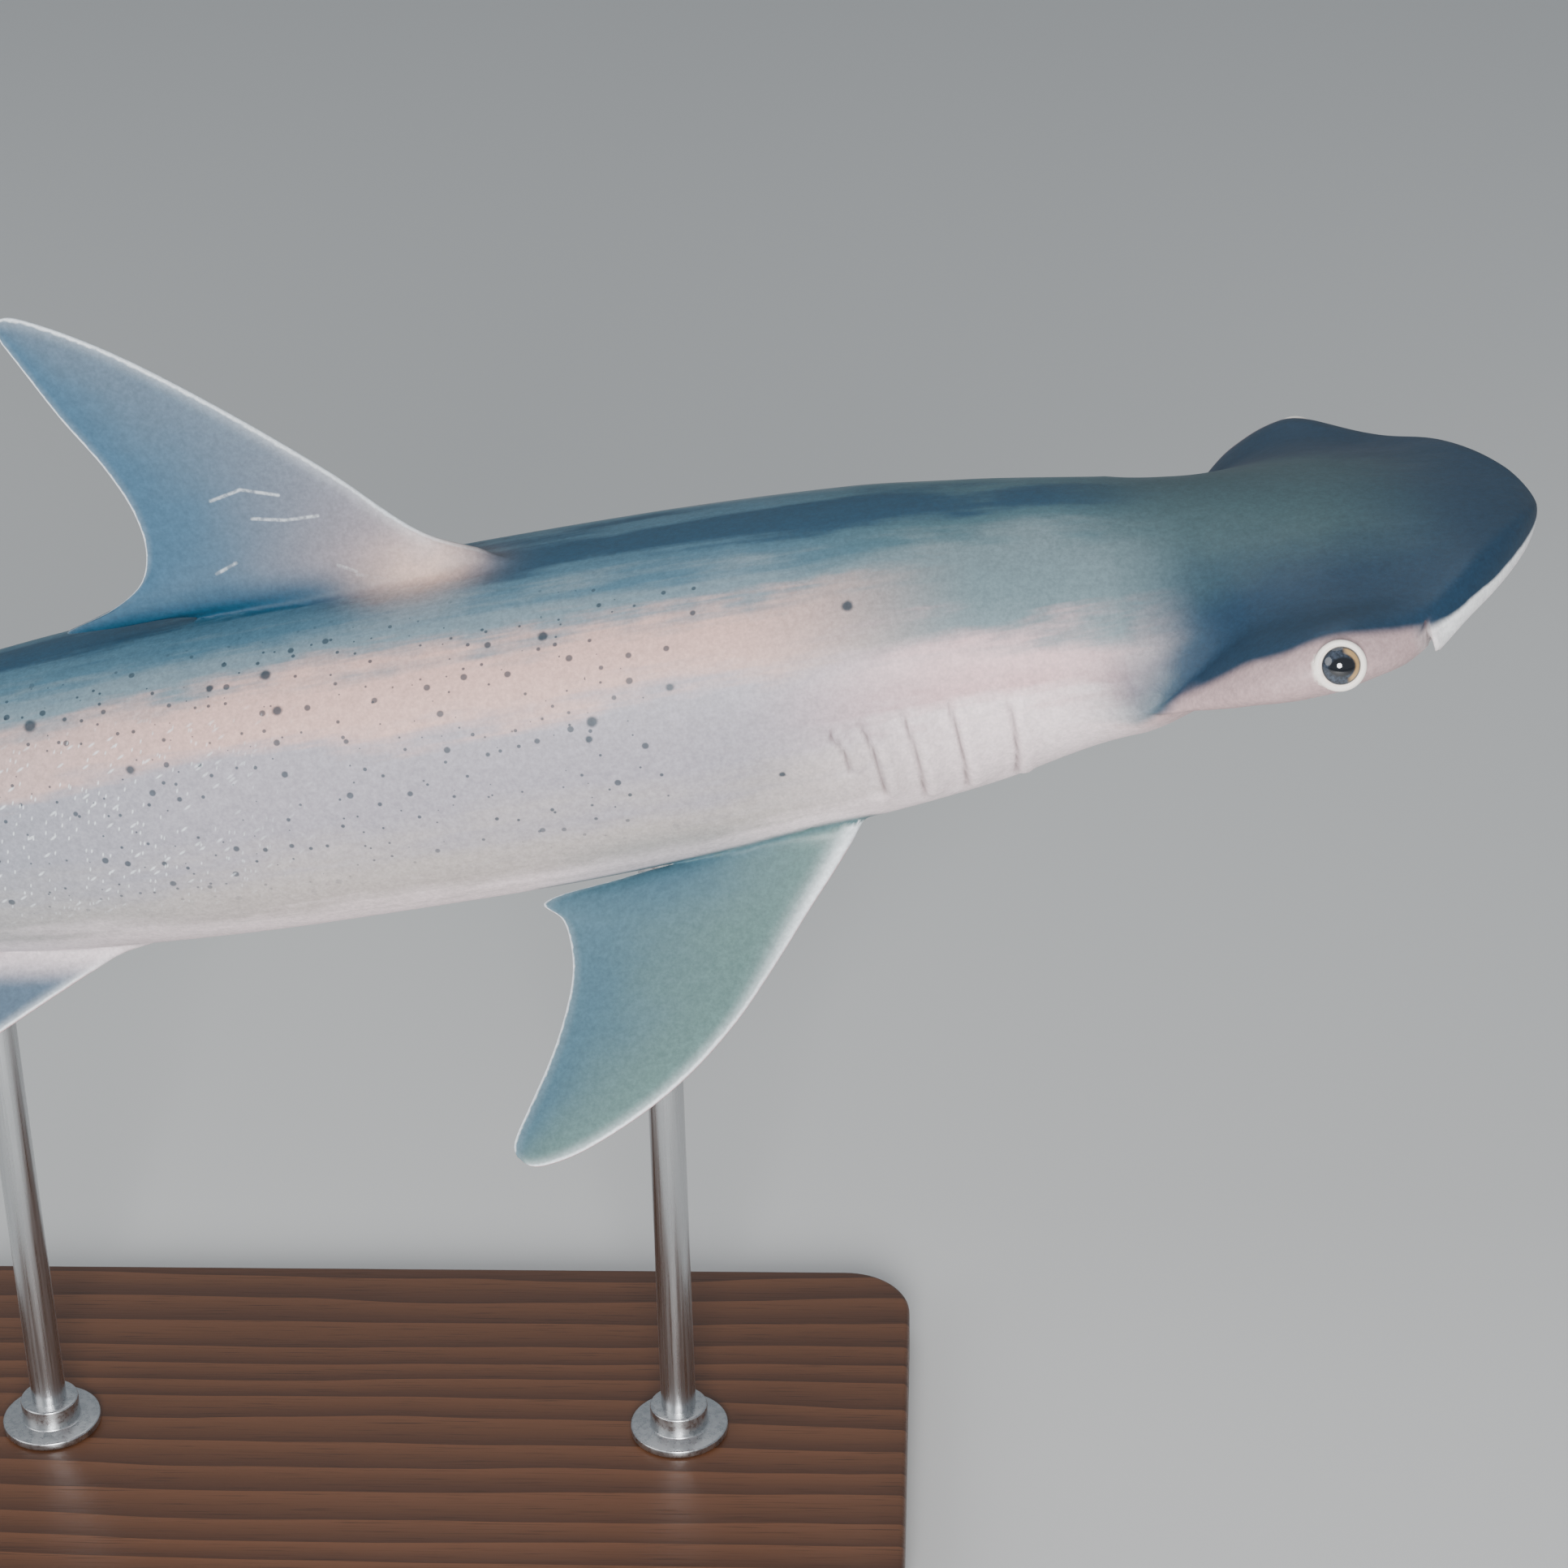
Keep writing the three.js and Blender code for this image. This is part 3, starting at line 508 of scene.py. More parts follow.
def paired_place(start, base, seat, droop, curl, side):
    """Places a pectoral or pelvic fin low on one side."""

    def seat_at(station):
        off = seat * float(half_width(station))
        return np.array([-station, side * off, float(skin_height(station, off, False))])

    root = seat_at(start)
    along = seat_at(start + base) - root
    along /= np.linalg.norm(along)

    def out_at(angle):
        return np.array([0, side * math.cos(angle), -math.sin(angle)])

    out, blade_up = out_at(math.radians(droop)), out_at(math.radians(droop - 90))

    def place(away, reach, aside):
        lift = aside + curl * np.maximum(reach, 0) ** 2 / 90
        return root + np.outer(away, along) + np.outer(reach, out) + np.outer(lift, blade_up)

    return place


def flat_place(station, height, aside):
    """Places the tail fin on the middle plane."""
    return np.stack((-station, aside, height), axis=1)


def all_fins():
    """Every fin with its outline, its place on the body and the numbers of its blade's faces."""
    fins = []
    for name, (start, end, upper) in MIDLINE_FINS.items():
        fins.append((name, FINS[name], midline_place(start, end, upper)))
    for name, seat in PAIRED_FINS.items():
        for word, side in (("left", 1), ("right", -1)):
            fins.append((f"{name}_{word}", FINS[name], paired_place(*seat, side)))
    fins.append(("upper_lobe", FINS["upper_lobe"], flat_place))
    fins.append(("lower_lobe", FINS["lower_lobe"], flat_place))
    return fins


def eye_centre(side):
    """The eyeball's centre on the straight shark."""
    off = float(half_width(EYE_STATION)) + EYE_PROUD - EYE_RADIUS
    return Vector((-EYE_STATION, side * off, EYE_HEIGHT[side]))


def eye_axis(side):
    """The way the eye's socket faces: out, a little forward and up."""
    return Vector((0.06, side, 0.24)).normalized()


def gaze(side):
    """The way the pupil looks: out, a little forward and up."""
    return Vector((0.1, side, 0.3)).normalized()


def make_lid(side, settings):
    """The pale fold round an eye."""
    deselect()
    bpy.ops.mesh.primitive_torus_add(
        major_segments=72,
        minor_segments=20,
        major_radius=settings.lid_radius,
        minor_radius=settings.lid_thickness,
    )
    lid = bpy.context.object
    axis = eye_axis(side)
    centre = eye_centre(side) + axis * settings.lid_height
    stand_at = Matrix.Translation(centre) @ axis.to_track_quat("Z", "Y").to_matrix().to_4x4()
    flattened = places(lid) * (1, 1, 0.9)
    set_places(lid, [stand_at @ Vector(p) for p in flattened])
    face_outwards(lid)
    return lid


def join_solids(obj, other):
    """Joins another closed mesh to this one."""
    apply_modifier(obj, "BOOLEAN", operation="UNION", solver="MANIFOLD", object=other)
    bpy.data.objects.remove(other, do_unlink=True)


def tree_of(points):
    """A tree that finds the nearest of these places."""
    tree = KDTree(len(points))
    for i, point in enumerate(points):
        tree.insert(point, i)
    tree.balance()
    return tree


def carve(points, normals):
    """Gill slits, mouth and hollows as moves along the skin's normals, and how deep in a slit a place is,
    which is also where painted shade darkens the grooves.
    """
    station, side, height = -points[:, 0], points[:, 1], points[:, 2]
    move = np.zeros(len(points))
    cut = np.zeros(len(points))
    on_flank = np.abs(side) > 0.5 * half_width(station)
    for (high_station, high), (low_station, low) in GILLS:
        share = (high - height) / (high - low)
        bow = GILL_BOW * (1 - (2 * share - 1) ** 2)
        along = station - (high_station + (low_station - high_station) * share - bow)
        within = on_flank * smooth_step(-np.abs(2 * share - 1), -1.06, -0.8)
        cut = np.maximum(cut, within * bell(along, 0, GILL_WIDTH))
        flap = 1.3 * bell(along, -3, 2.8)
        behind = -0.9 * bell(along, 3, 2.6)
        move += within * (flap + behind)
    move -= GILL_DEPTH * cut
    hollow = bell(station, HOLLOW_STATION, 13) * bell(height, HOLLOW_HEIGHT, 9)
    move -= HOLLOW_DEPTH * hollow * on_flank
    below = normals[:, 2] < -0.2
    arch = MOUTH_FRONT + (MOUTH_CORNER - MOUTH_FRONT) * np.clip(np.abs(side) / MOUTH_HALF, 0, 1.2) ** 2
    gap = station - arch
    within = below * smooth_step(-np.abs(side), -MOUTH_HALF - 1.5, -MOUTH_HALF + 3)
    lips = within * bell(gap, 0, 1.2)
    move += within * (0.8 * bell(gap, 4, 2.5) + 0.5 * bell(gap, -3.5, 2.4)) - MOUTH_DEPTH * lips
    return move, np.maximum(cut, lips)


def carve_nostrils(points):
    """A slanting notch in the rim in front of each eye, with a small pointed flap before it."""
    station, side, height = -points[:, 0], points[:, 1], points[:, 2]
    off = np.abs(side) - half_width(station)
    lean = 0.35 * np.minimum(off, 0)
    across = station - NOSTRIL_STATION - lean
    near = smooth_step(off, -15, -7) * smooth_step(-height, -4, 1)
    # the flap grows towards the notch and ends there on a point
    flap = near * np.clip((across + 13) / 13, 0, 1) ** 2 * (1 - smooth_step(across, -0.3, 0.9))
    notch = near * bell(across, 1.7, 1.3)
    behind = near * bell(across, 4, 5) * smooth_step(across, 0, 1.2)
    shift = np.zeros_like(points)
    shift[:, 2] = NOSTRIL_DEPTH * notch + 0.8 * behind - NOSTRIL_FLAP * flap
    shift[:, 1] = np.sign(side) * (1.5 * flap - 2.4 * notch - 1.2 * behind)
    shift[:, 0] = -0.8 * flap
    return shift, notch


class Paint:
    """Builds one material's nodes, in short calls."""

    def __init__(self, name):
        self.material = bpy.data.materials.new(name)
        self.material.use_nodes = True
        self.tree = self.material.node_tree
        self.shader = self.tree.nodes["Principled BSDF"]

    def node(self, kind, **settings):
        """A new node with these settings."""
        node = self.tree.nodes.new(kind)
        for key, value in settings.items():
            setattr(node, key, value)
        return node

    def plug(self, value, socket):
        """Links a node's output to a socket, or sets the socket to a number or colour."""
        if isinstance(value, bpy.types.NodeSocket):
            self.tree.links.new(value, socket)
        elif value is not None:
            if socket.type == "RGBA" and len(value) == 3:
                value = (*value, 1)
            socket.default_value = value

    def math(self, operation, a, b=None, c=None, clamp=False):
        """One sum on up to three values."""
        node = self.node("ShaderNodeMath", operation=operation, use_clamp=clamp)
        for value, socket in zip((a, b, c), node.inputs):
            self.plug(value, socket)
        return node.outputs[0]

    def times(self, a, b):
        """a times b."""
        return self.math("MULTIPLY", a, b)

    def rest(self, value):
        """What is left of 1."""
        return self.math("SUBTRACT", 1.0, value)

    def jitter(self, value, noise, amount):
        """The value, moved up and down by a noise."""
        return self.math("MULTIPLY_ADD", self.math("SUBTRACT", noise, 0.5), amount, value)

    def length(self, a, b):
        """Length of the flat vector a, b."""
        return self.math("SQRT", self.math("MULTIPLY_ADD", a, a, self.times(b, b)))

    def mix(self, share, a, b, blend="MIX"):
        """Colour a where share is 0 and colour b where it is 1."""
        node = self.node("ShaderNodeMix", data_type="RGBA", blend_type=blend, clamp_factor=True)
        self.plug(share, node.inputs["Factor"])
        self.plug(a, node.inputs[6])
        self.plug(b, node.inputs[7])
        return node.outputs[2]

    def spread(self, value, low, high, out_low=0.0, out_high=1.0):
        """Soft step from out_low, where the value is low, to out_high, where it is high."""
        node = self.node("ShaderNodeMapRange", interpolation_type="SMOOTHSTEP")
        sockets = ("Value", "From Min", "From Max", "To Min", "To Max")
        for key, given in zip(sockets, (value, low, high, out_low, out_high)):
            self.plug(given, node.inputs[key])
        return node.outputs["Result"]

    def fade(self, value, low, high):
        """Soft step down, from 1 to 0."""
        return self.spread(value, low, high, 1.0, 0.0)

    def attribute(self, name, vector=False):
        """A value kept on the mesh."""
        node = self.node("ShaderNodeAttribute", attribute_type="GEOMETRY", attribute_name=name)
        return node.outputs["Vector" if vector else "Fac"]

    def scaled(self, vector, scale, turn=0.0):
        """The vector scaled along each axis, and turned in plan."""
        node = self.node("ShaderNodeMapping")
        self.plug(vector, node.inputs["Vector"])
        node.inputs["Scale"].default_value = scale
        node.inputs["Rotation"].default_value = (0, 0, turn)
        return node.outputs["Vector"]

    def noise(self, vector, scale, detail=3.0, roughness=0.5):
        """Cloudy noise from 0 to 1."""
        node = self.node("ShaderNodeTexNoise")
        self.plug(vector, node.inputs["Vector"])
        node.inputs["Scale"].default_value = scale
        node.inputs["Detail"].default_value = detail
        node.inputs["Roughness"].default_value = roughness
        return node.outputs["Fac"]

    def ramp(self, value, *stops):
        """Colours along a value from -1 to 1."""
        node = self.node("ShaderNodeValToRGB")
        node.color_ramp.interpolation = "EASE"
        elements = node.color_ramp.elements
        while len(elements) < len(stops):
            elements.new(1)
        for element, (place, colour) in zip(elements, stops):
            element.position = (place + 1) / 2
            element.color = (*colour, 1)
        self.plug(self.math("MULTIPLY_ADD", value, 0.5, 0.5), node.inputs["Fac"])
        return node.outputs["Color"]

    def away_from_line(self, x, z, start, end):
        """Distance from a straight line between two flat places."""
        along = (end[0] - start[0], end[1] - start[1])
        length = along[0] ** 2 + along[1] ** 2
        dx, dz = self.math("SUBTRACT", x, start[0]), self.math("SUBTRACT", z, start[1])
        lift = self.times(dz, along[1] / length)
        share = self.math("MULTIPLY_ADD", dx, along[0] / length, lift, clamp=True)
        gap_x = self.math("MULTIPLY_ADD", share, -along[0], dx)
        gap_z = self.math("MULTIPLY_ADD", share, -along[1], dz)
        return self.length(gap_x, gap_z)

    def cells(self, vector, scale):
        """Scattered points: the distance to the nearest one and a random colour for each."""
        node = self.node("ShaderNodeTexVoronoi", voronoi_dimensions="2D")
        self.plug(vector, node.inputs["Vector"])
        node.inputs["Scale"].default_value = scale
        return node.outputs["Distance"], node.outputs["Color"]

    def split(self, vector):
        """The vector's three numbers."""
        node = self.node("ShaderNodeSeparateXYZ")
        self.plug(vector, node.inputs[0])
        return node.outputs

    def distance(self, vector, place):
        """How far the vector is from a place."""
        node = self.node("ShaderNodeVectorMath", operation="DISTANCE")
        self.plug(vector, node.inputs[0])
        node.inputs[1].default_value = place
        return node.outputs["Value"]

    def bump(self, height, strength, distance, normal=None):
        """A normal bent by a height, over an earlier bump if one is given."""
        node = self.node("ShaderNodeBump")
        self.plug(height, node.inputs["Height"])
        node.inputs["Strength"].default_value = strength
        node.inputs["Distance"].default_value = distance
        if normal is not None:
            self.plug(normal, node.inputs["Normal"])
        return node.outputs["Normal"]

    def finish(self, **sockets):
        """Plugs values into the shader's sockets and gives the material."""
        for name, value in sockets.items():
            self.plug(value, self.shader.inputs[name.replace("_", " ").title() if name != "ior" else "IOR"])
        return self.material


# Larger dark spots on the right flank: station, height and radius, in millimetres
SPOTS = (
    (206, 27, 1.8), (298, 34, 1.6), (385, 35.5, 1.8), (382, 27.5, 1.6), (403, 34.5, 1.2), (462, 31.5, 2.2),
    (431, 18, 1.5), (287, 11, 1.8), (289, 6, 1.2), (262, 16.5, 1.3), (235, -18, 1.1),
)
# Pale scratches on the first dorsal fin: two ends as (station, height)
SCRATCHES = (
    ((394, 82), (384, 84)), ((384, 84), (373, 80)), ((383, 74), (373, 71.5)), ((373, 71.5), (363, 71)),
    ((361, 54), (356, 51)), ((356, 50), (347, 47)), ((399, 58), (392, 60.5)),
)


def body_colour(paint, colours, tone, station):
    """From belly to back, one run of colours for the trunk and one for the neck. Towards the top they hold
    the back's real dark colour, made darker still with painted shade of the top.
    """
    trunk = paint.ramp(
        tone,
        (-1, colours.belly), (-0.52, colours.belly), (-0.3, colours.low_flank), (0.04, colours.grey_flank),
        (0.26, colours.grey_flank), (0.42, colours.pink_flank), (0.56, colours.pink_flank),
        # upper back and back: the real slate colour, darker still as painted shade of the top
        (0.7, colours.shoulder), (0.84, colours.upper_back), (0.96, colours.back),
    )
    neck = paint.ramp(
        tone,
        (-1, colours.belly), (-0.1, colours.belly), (0.08, colours.cheek), (0.22, colours.cheek),
        # nape and back: the real dark colour, darker still as painted shade of the top
        (0.42, colours.neck), (0.64, colours.neck), (0.84, colours.nape), (0.98, colours.back),
    )
    # the flank turns greyer towards the rear
    rear = paint.times(paint.spread(station, 380.0, 500.0, 0.0, 0.32), paint.fade(tone, 0.6, 0.85))
    trunk = paint.mix(rear, trunk, colours.shoulder)
    return paint.mix(paint.spread(station, 165.0, 250.0), neck, trunk)


def head_colour(paint, colours, straight, blotches):
    """Dark above the rim's border, with painted shade of the top in that dark, pinkish white below it, white
    along the front rim.
    """
    side = paint.math("ABSOLUTE", paint.split(straight)[1])
    station = paint.times(paint.split(straight)[0], -1000.0)
    mottled = paint.jitter(side, blotches, 0.02)
    # crown and head: the real dark top of the head, darker still as painted shade of the top
    top = paint.mix(paint.spread(mottled, 0.018, 0.05), colours.crown, colours.head)
    front = paint.fade(station, 15.0, 70.0)
    top = paint.mix(front, top, colours.head)
    inner = paint.fade(mottled, 0.048, 0.058)
    inner = paint.times(inner, paint.spread(station, 98.0, 138.0))
    inner = paint.times(inner, paint.spread(mottled, 0.012, 0.034))
    top = paint.mix(inner, top, colours.neck)
    front_rim = paint.fade(station, 34.0, 46.0)
    low = paint.mix(front_rim, colours.wing_side, colours.white_rim)
    low = paint.mix(paint.fade(paint.attribute("tone"), -0.8, -0.2), low, colours.belly)
    rim = paint.jitter(paint.attribute("rim"), blotches, 2.4)
    soft = paint.spread(station, 20.0, 60.0, 0.7, 2.2)
    return paint.mix(paint.spread(paint.math("DIVIDE", rim, soft), -1.0, 1.0), low, top)


def fin_colour(paint, colours, straight, blotches, fine):
    """Blue-grey blades, greyer in front, with a pale root strip and thin white edges."""
    chord, edge = paint.attribute("chord"), paint.attribute("edge")
    chord = paint.jitter(chord, blotches, 0.5)
    blade = paint.mix(paint.spread(chord, 0.1, 0.85), colours.fin_front, colours.fin_rear)
    olive = paint.times(paint.attribute("olive"), paint.spread(chord, 0.0, 0.9, 0.8, 0.25))
    blade = paint.mix(olive, blade, colours.fin_olive)
    blade = paint.mix(paint.attribute("warm"), blade, colours.pink_flank)
    blade = paint.mix(paint.attribute("pale"), blade, colours.edge)
    edge_wander = paint.jitter(edge, fine, 1.4)
    blade = paint.mix(paint.spread(edge, 0.0, 5.0, 0.08, 0.0), blade, colours.edge)
    blade = paint.mix(paint.spread(edge_wander, 0.3, 1.2, 0.8, 0.0), blade, colours.edge)
    blade = paint.mix(paint.attribute("under"), blade, colours.cheek)
    return blade


def skin_material(colours):
    """Slate back, darkened with painted shade of the top, grey and pink flank, white belly, pale fin edges,
    dark specks and fine scratches.
    """
    paint = Paint("shark_skin")
    straight = paint.attribute("straight", vector=True)
    wrap = paint.attribute("wrap", vector=True)
    x, _, z = paint.split(straight)
    station = paint.times(x, -1000.0)
    height = paint.times(z, 1000.0)
    tone = paint.attribute("tone")
    fin = paint.attribute("fin")

    # lengthwise streaks and soft blotches
    streaks = paint.noise(paint.scaled(straight, (6, 85, 100)), 1.0, 4.0, 0.6)
    blotches = paint.noise(paint.scaled(straight, (28, 40, 44)), 1.0, 4.0, 0.55)
    fine = paint.noise(straight, 420.0, 3.0, 0.6)
    wander = paint.jitter(tone, streaks, 0.5)
    wander = paint.jitter(wander, blotches, 0.26)
    colour = body_colour(paint, colours, wander, station)
    colour = paint.mix(paint.attribute("head"), colour, head_colour(paint, colours, straight, blotches))
    warm = paint.times(paint.attribute("tint"), paint.spread(blotches, 0.2, 0.7, 0.5, 1.0))
    colour = paint.mix(warm, colour, colours.tint)
    colour = paint.mix(fin, colour, fin_colour(paint, colours, straight, blotches, fine))
    warm = paint.times(warm, fin)
    colour = paint.mix(warm, colour, colours.tint)

    # scratches on the first dorsal fin
    scratch = None
    for start, end in SCRATCHES:
        gap = paint.away_from_line(station, height, start, end)
        broken = paint.spread(fine, 0.35, 0.6, 0.3, 1.0)
        line = paint.times(paint.spread(gap, 0.1, 0.8, 0.5, 0.0), broken)
        scratch = line if scratch is None else paint.math("MAXIMUM", scratch, line)
    colour = paint.mix(paint.times(scratch, fin), colour, colours.edge)

    # small specks, thicker towards the rear and low on the flank
    flank = paint.times(paint.spread(tone, -0.35, -0.1), paint.fade(tone, 0.72, 0.9))
    flank = paint.times(flank, paint.rest(fin))
    crowd = paint.spread(station, 190.0, 330.0, 0.05, 1.0)
    crowd = paint.times(crowd, paint.spread(station, 560.0, 760.0, 1.0, 0.2))
    for scale, chance, size in ((95.0, 0.36, 0.11), (170.0, 0.55, 0.115)):
        gap, random = paint.cells(wrap, scale)
        pick, reach, _ = paint.split(random)
        keep = paint.math("GREATER_THAN", paint.times(pick, crowd), chance)
        radius = paint.times(keep, paint.spread(reach, 0.0, 1.0, 0.35 * size, size))
        speck = paint.spread(paint.math("SUBTRACT", radius, gap), -0.015, 0.03)
        speck = paint.times(paint.times(speck, keep), flank)
        colour = paint.mix(paint.times(speck, 0.8), colour, colours.speck)

    # the larger spots
    for at, up, size in SPOTS:
        place = (at * MM, float(way_round(at, tone_at(at, up))) * MM, 0)
        gap = paint.times(paint.distance(wrap, place), 1000.0)
        gap = paint.jitter(gap, fine, 0.8)
        spot = paint.times(paint.spread(gap, size * 0.6, size * 1.3, 0.88, 0.0), paint.rest(fin))
        colour = paint.mix(spot, colour, colours.speck)

    # pale flecks and short scratches low on the rear of the flank
    rear = paint.times(paint.spread(station, 360.0, 440.0), paint.fade(station, 540.0, 640.0))
    rear = paint.times(paint.times(rear, flank), paint.fade(tone, 0.45, 0.6))
    for turn, scale, chance in ((0.5, (170, 560, 1), 0.86), (1.2, (300, 800, 1), 0.84)):
        slanted = paint.scaled(wrap, (1, 1, 1), turn)
        gap, random = paint.cells(paint.scaled(slanted, scale), 1.0)
        pick, _, _ = paint.split(random)
        fleck = paint.times(paint.fade(gap, 0.1, 0.3), paint.math("GREATER_THAN", pick, chance))
        colour = paint.mix(paint.times(fleck, paint.times(rear, 0.6)), colour, colours.edge)

    # fine grain of the skin's tiny scales, then painted shade as dark lines in the gill slits, mouth groove
    # and nostril notches, and the pale fold round the eye
    grain = paint.spread(fine, 0.25, 0.75, 0.9, 1.1)
    small = paint.spread(paint.noise(straight, 1000.0, 2.0), 0.3, 0.7, 0.92, 1.08)
    shade = paint.times(grain, small)
    colour = paint.mix(1.0, colour, shade, "MULTIPLY")
    # painted shade: dark colour laid into the gill slits, mouth groove and nostril notches
    colour = paint.mix(paint.times(paint.attribute("cut"), 0.7), colour, colours.slit)
    colour = paint.mix(paint.attribute("lid"), colour, colours.lid)

    bumps = paint.bump(paint.noise(straight, 1500.0, 2.0, 0.6), 0.2, 0.0002)
    ripple = paint.bump(paint.noise(paint.scaled(straight, (60, 160, 160)), 1.0, 3.0), 0.2, 0.001, bumps)
    rough = paint.spread(blotches, 0.3, 0.7, 0.42, 0.54)
    return paint.finish(base_color=colour, roughness=rough, normal=ripple)


def eye_material(colours):
    """White outer ring, grey iris with a golden crescent in front and a dark oval pupil."""
    paint = Paint("shark_eye")
    across = paint.attribute("across", vector=True)
    u, v, _ = paint.split(across)
    out = paint.length(u, v)
    wide, tall = paint.times(u, 1 / colours.pupil_width), paint.times(v, 1 / colours.pupil_height)
    oval = paint.length(wide, tall)
    rays = paint.noise(paint.scaled(across, (900, 900, 900)), 1.0, 4.0, 0.6)
    iris = paint.mix(paint.spread(rays, 0.3, 0.75), colours.iris, colours.iris_light)
    front = paint.times(paint.spread(u, 0.0006, 0.0026), paint.spread(out, 0.0034, 0.0042))
    iris = paint.mix(paint.times(front, 0.85), iris, colours.gold)
    iris = paint.mix(paint.fade(oval, 0.85, 1.2), iris, colours.pupil)
    iris = paint.mix(paint.spread(out, 0.0049, 0.0053), iris, colours.ring_dark)
    colour = paint.mix(paint.spread(out, 0.0054, 0.0057), iris, colours.white)
    return paint.finish(base_color=colour, roughness=0.08, coat_weight=1.0, coat_roughness=0.03)


def wood_material(colours):
    """Dark oiled wood with long grain."""
    paint = Paint("stand_walnut")
    at = paint.node("ShaderNodeTexCoord").outputs["Object"]
    wavy = paint.noise(paint.scaled(at, (3, 14, 14)), 1.0, 3.0)
    bend = paint.node("ShaderNodeCombineXYZ")
    for socket in bend.inputs[1:]:
        paint.plug(paint.times(wavy, 0.35), socket)
    moved = paint.node("ShaderNodeVectorMath", operation="ADD")
    paint.plug(paint.scaled(at, (0.6, 16, 16)), moved.inputs[0])
    paint.plug(bend.outputs[0], moved.inputs[1])
    rings = paint.node("ShaderNodeTexWave", wave_type="BANDS", bands_direction="Y", wave_profile="SAW")
    paint.plug(moved.outputs[0], rings.inputs["Vector"])
    rings.inputs["Scale"].default_value = 1.6
    rings.inputs["Distortion"].default_value = 5.0
    rings.inputs["Detail"].default_value = 4.0
    pores = paint.noise(paint.scaled(at, (40, 1400, 1400)), 1.0, 2.0, 0.6)
    colour = paint.mix(rings.outputs["Fac"], colours.wood_dark, colours.wood_light)
    colour = paint.mix(paint.spread(pores, 0.55, 0.75, 0.0, 0.6), colour, colours.wood_pore)
    normal = paint.bump(pores, 0.2, 0.0002)
    return paint.finish(base_color=colour, roughness=paint.spread(pores, 0.3, 0.8, 0.34, 0.55), normal=normal)


def steel_material(colours, name, along):
    """Brushed steel. along stretches the brush marks."""
    paint = Paint(name)
    at = paint.node("ShaderNodeTexCoord").outputs["Object"]
    marks = paint.noise(paint.scaled(at, along), 1.0, 3.0, 0.7)
    colour = paint.mix(marks, colours.steel_dark, colours.steel)
    rough = paint.spread(marks, 0.3, 0.7, 0.22, 0.4)
    normal = paint.bump(marks, 0.12, 0.0001)
    return paint.finish(base_color=colour, roughness=rough, normal=normal, metallic=1.0)


def seen(*screen):
    """A colour given as it looks on a screen, 0 to 255, as the light it reflects."""
    return tuple((c / 255 / 12.92) if c < 11 else ((c / 255 + 0.055) / 1.055) ** 2.4 for c in screen)


def colour_property(name, words, default):
    """A colour that a user can change."""
    return FloatVectorProperty(
        name=name, description=words, subtype="COLOR", size=3, min=0, max=1, default=default
    )


def number_property(name, words, default, **extra):
    """A number that a user can change."""
    return FloatProperty(name=name, description=words, default=default, **extra)


class SharkSkinSettings(PropertyGroup):
    """How the skin is meshed and coloured."""

    segments: IntProperty(name="Segments", description="Faces round the body", default=148, min=48)
    snout_rings: IntProperty(name="Snout rings", description="Rings before the eyes", default=84, min=20)
    trunk_step: number_property("Trunk step", "Millimetres between rings on the trunk", 3.6)
    seam_reach: number_property("Seam reach", "Millimetres smoothed at a fin's root", 7.0)
    lid_radius: number_property("Lid radius", "Radius of the fold round the eye, mm", 6.5)
    lid_thickness: number_property("Lid thickness", "Half thickness of that fold, mm", 1.05)
    lid_height: number_property("Lid height", "Its distance out of the eye's centre, mm", 3.0)
    # back, upper back and nape: the real dark top, set darker still as painted shade of the top
    back: colour_property("Back", "Ridge of the back", seen(22, 66, 90))
    upper_back: colour_property("Upper back", "Beside the ridge", seen(70, 106, 124))
    shoulder: colour_property("Shoulder", "Between back and flank", seen(112, 132, 142))
    pink_flank: colour_property("Pink flank", "Upper half of the flank", seen(208, 170, 160))
    grey_flank: colour_property("Grey flank", "Lower half of the flank", seen(158, 153, 162))
    low_flank: colour_property("Low flank", "Edge of the belly", seen(178, 168, 164))
    belly: colour_property("Belly", "Underside", seen(240, 222, 224))
    cheek: colour_property("Cheek", "Side of the head and of the gills", seen(210, 172, 174))
    wing_side: colour_property("Wing side", "Side of the head round the eye", seen(178, 152, 152))
    neck: colour_property("Neck", "Over the gills", seen(104, 124, 130))
    nape: colour_property("Nape", "Top of the neck, beside the ridge", seen(64, 98, 108))
    # head and crown: the real dark head top, set darker still as painted shade of the top
    head: colour_property("Head", "Head's wings and snout", seen(26, 54, 76))
    crown: colour_property("Crown", "Middle of the head's top", seen(58, 84, 90))
    white_rim: colour_property("White rim", "Rim from the nostril to the tip", seen(254, 254, 254))
    fin_front: colour_property("Front of the fins", "Front part of the blades", seen(80, 100, 118))
    fin_rear: colour_property("Rear of the fins", "Rear part of the blades", seen(56, 92, 116))
    fin_olive: colour_property("Olive of the fins", "Front of the pectoral fins", seen(92, 122, 114))
    edge: colour_property("Edge", "Thin edge of the fins, flecks", seen(236, 242, 246))
    tint: colour_property("Tint", "Warm tint at the first dorsal fin's front base", seen(232, 190, 168))
    lid: colour_property("Lid", "Fold round the eye", seen(248, 240, 230))
    # painted shade: the dark colour laid into the gill slits, mouth groove and nostril notches
    slit: colour_property("Slit", "Lines of the gills, mouth and nostrils", seen(92, 72, 74))
    speck: colour_property("Specks", "Dark specks", seen(30, 50, 62))


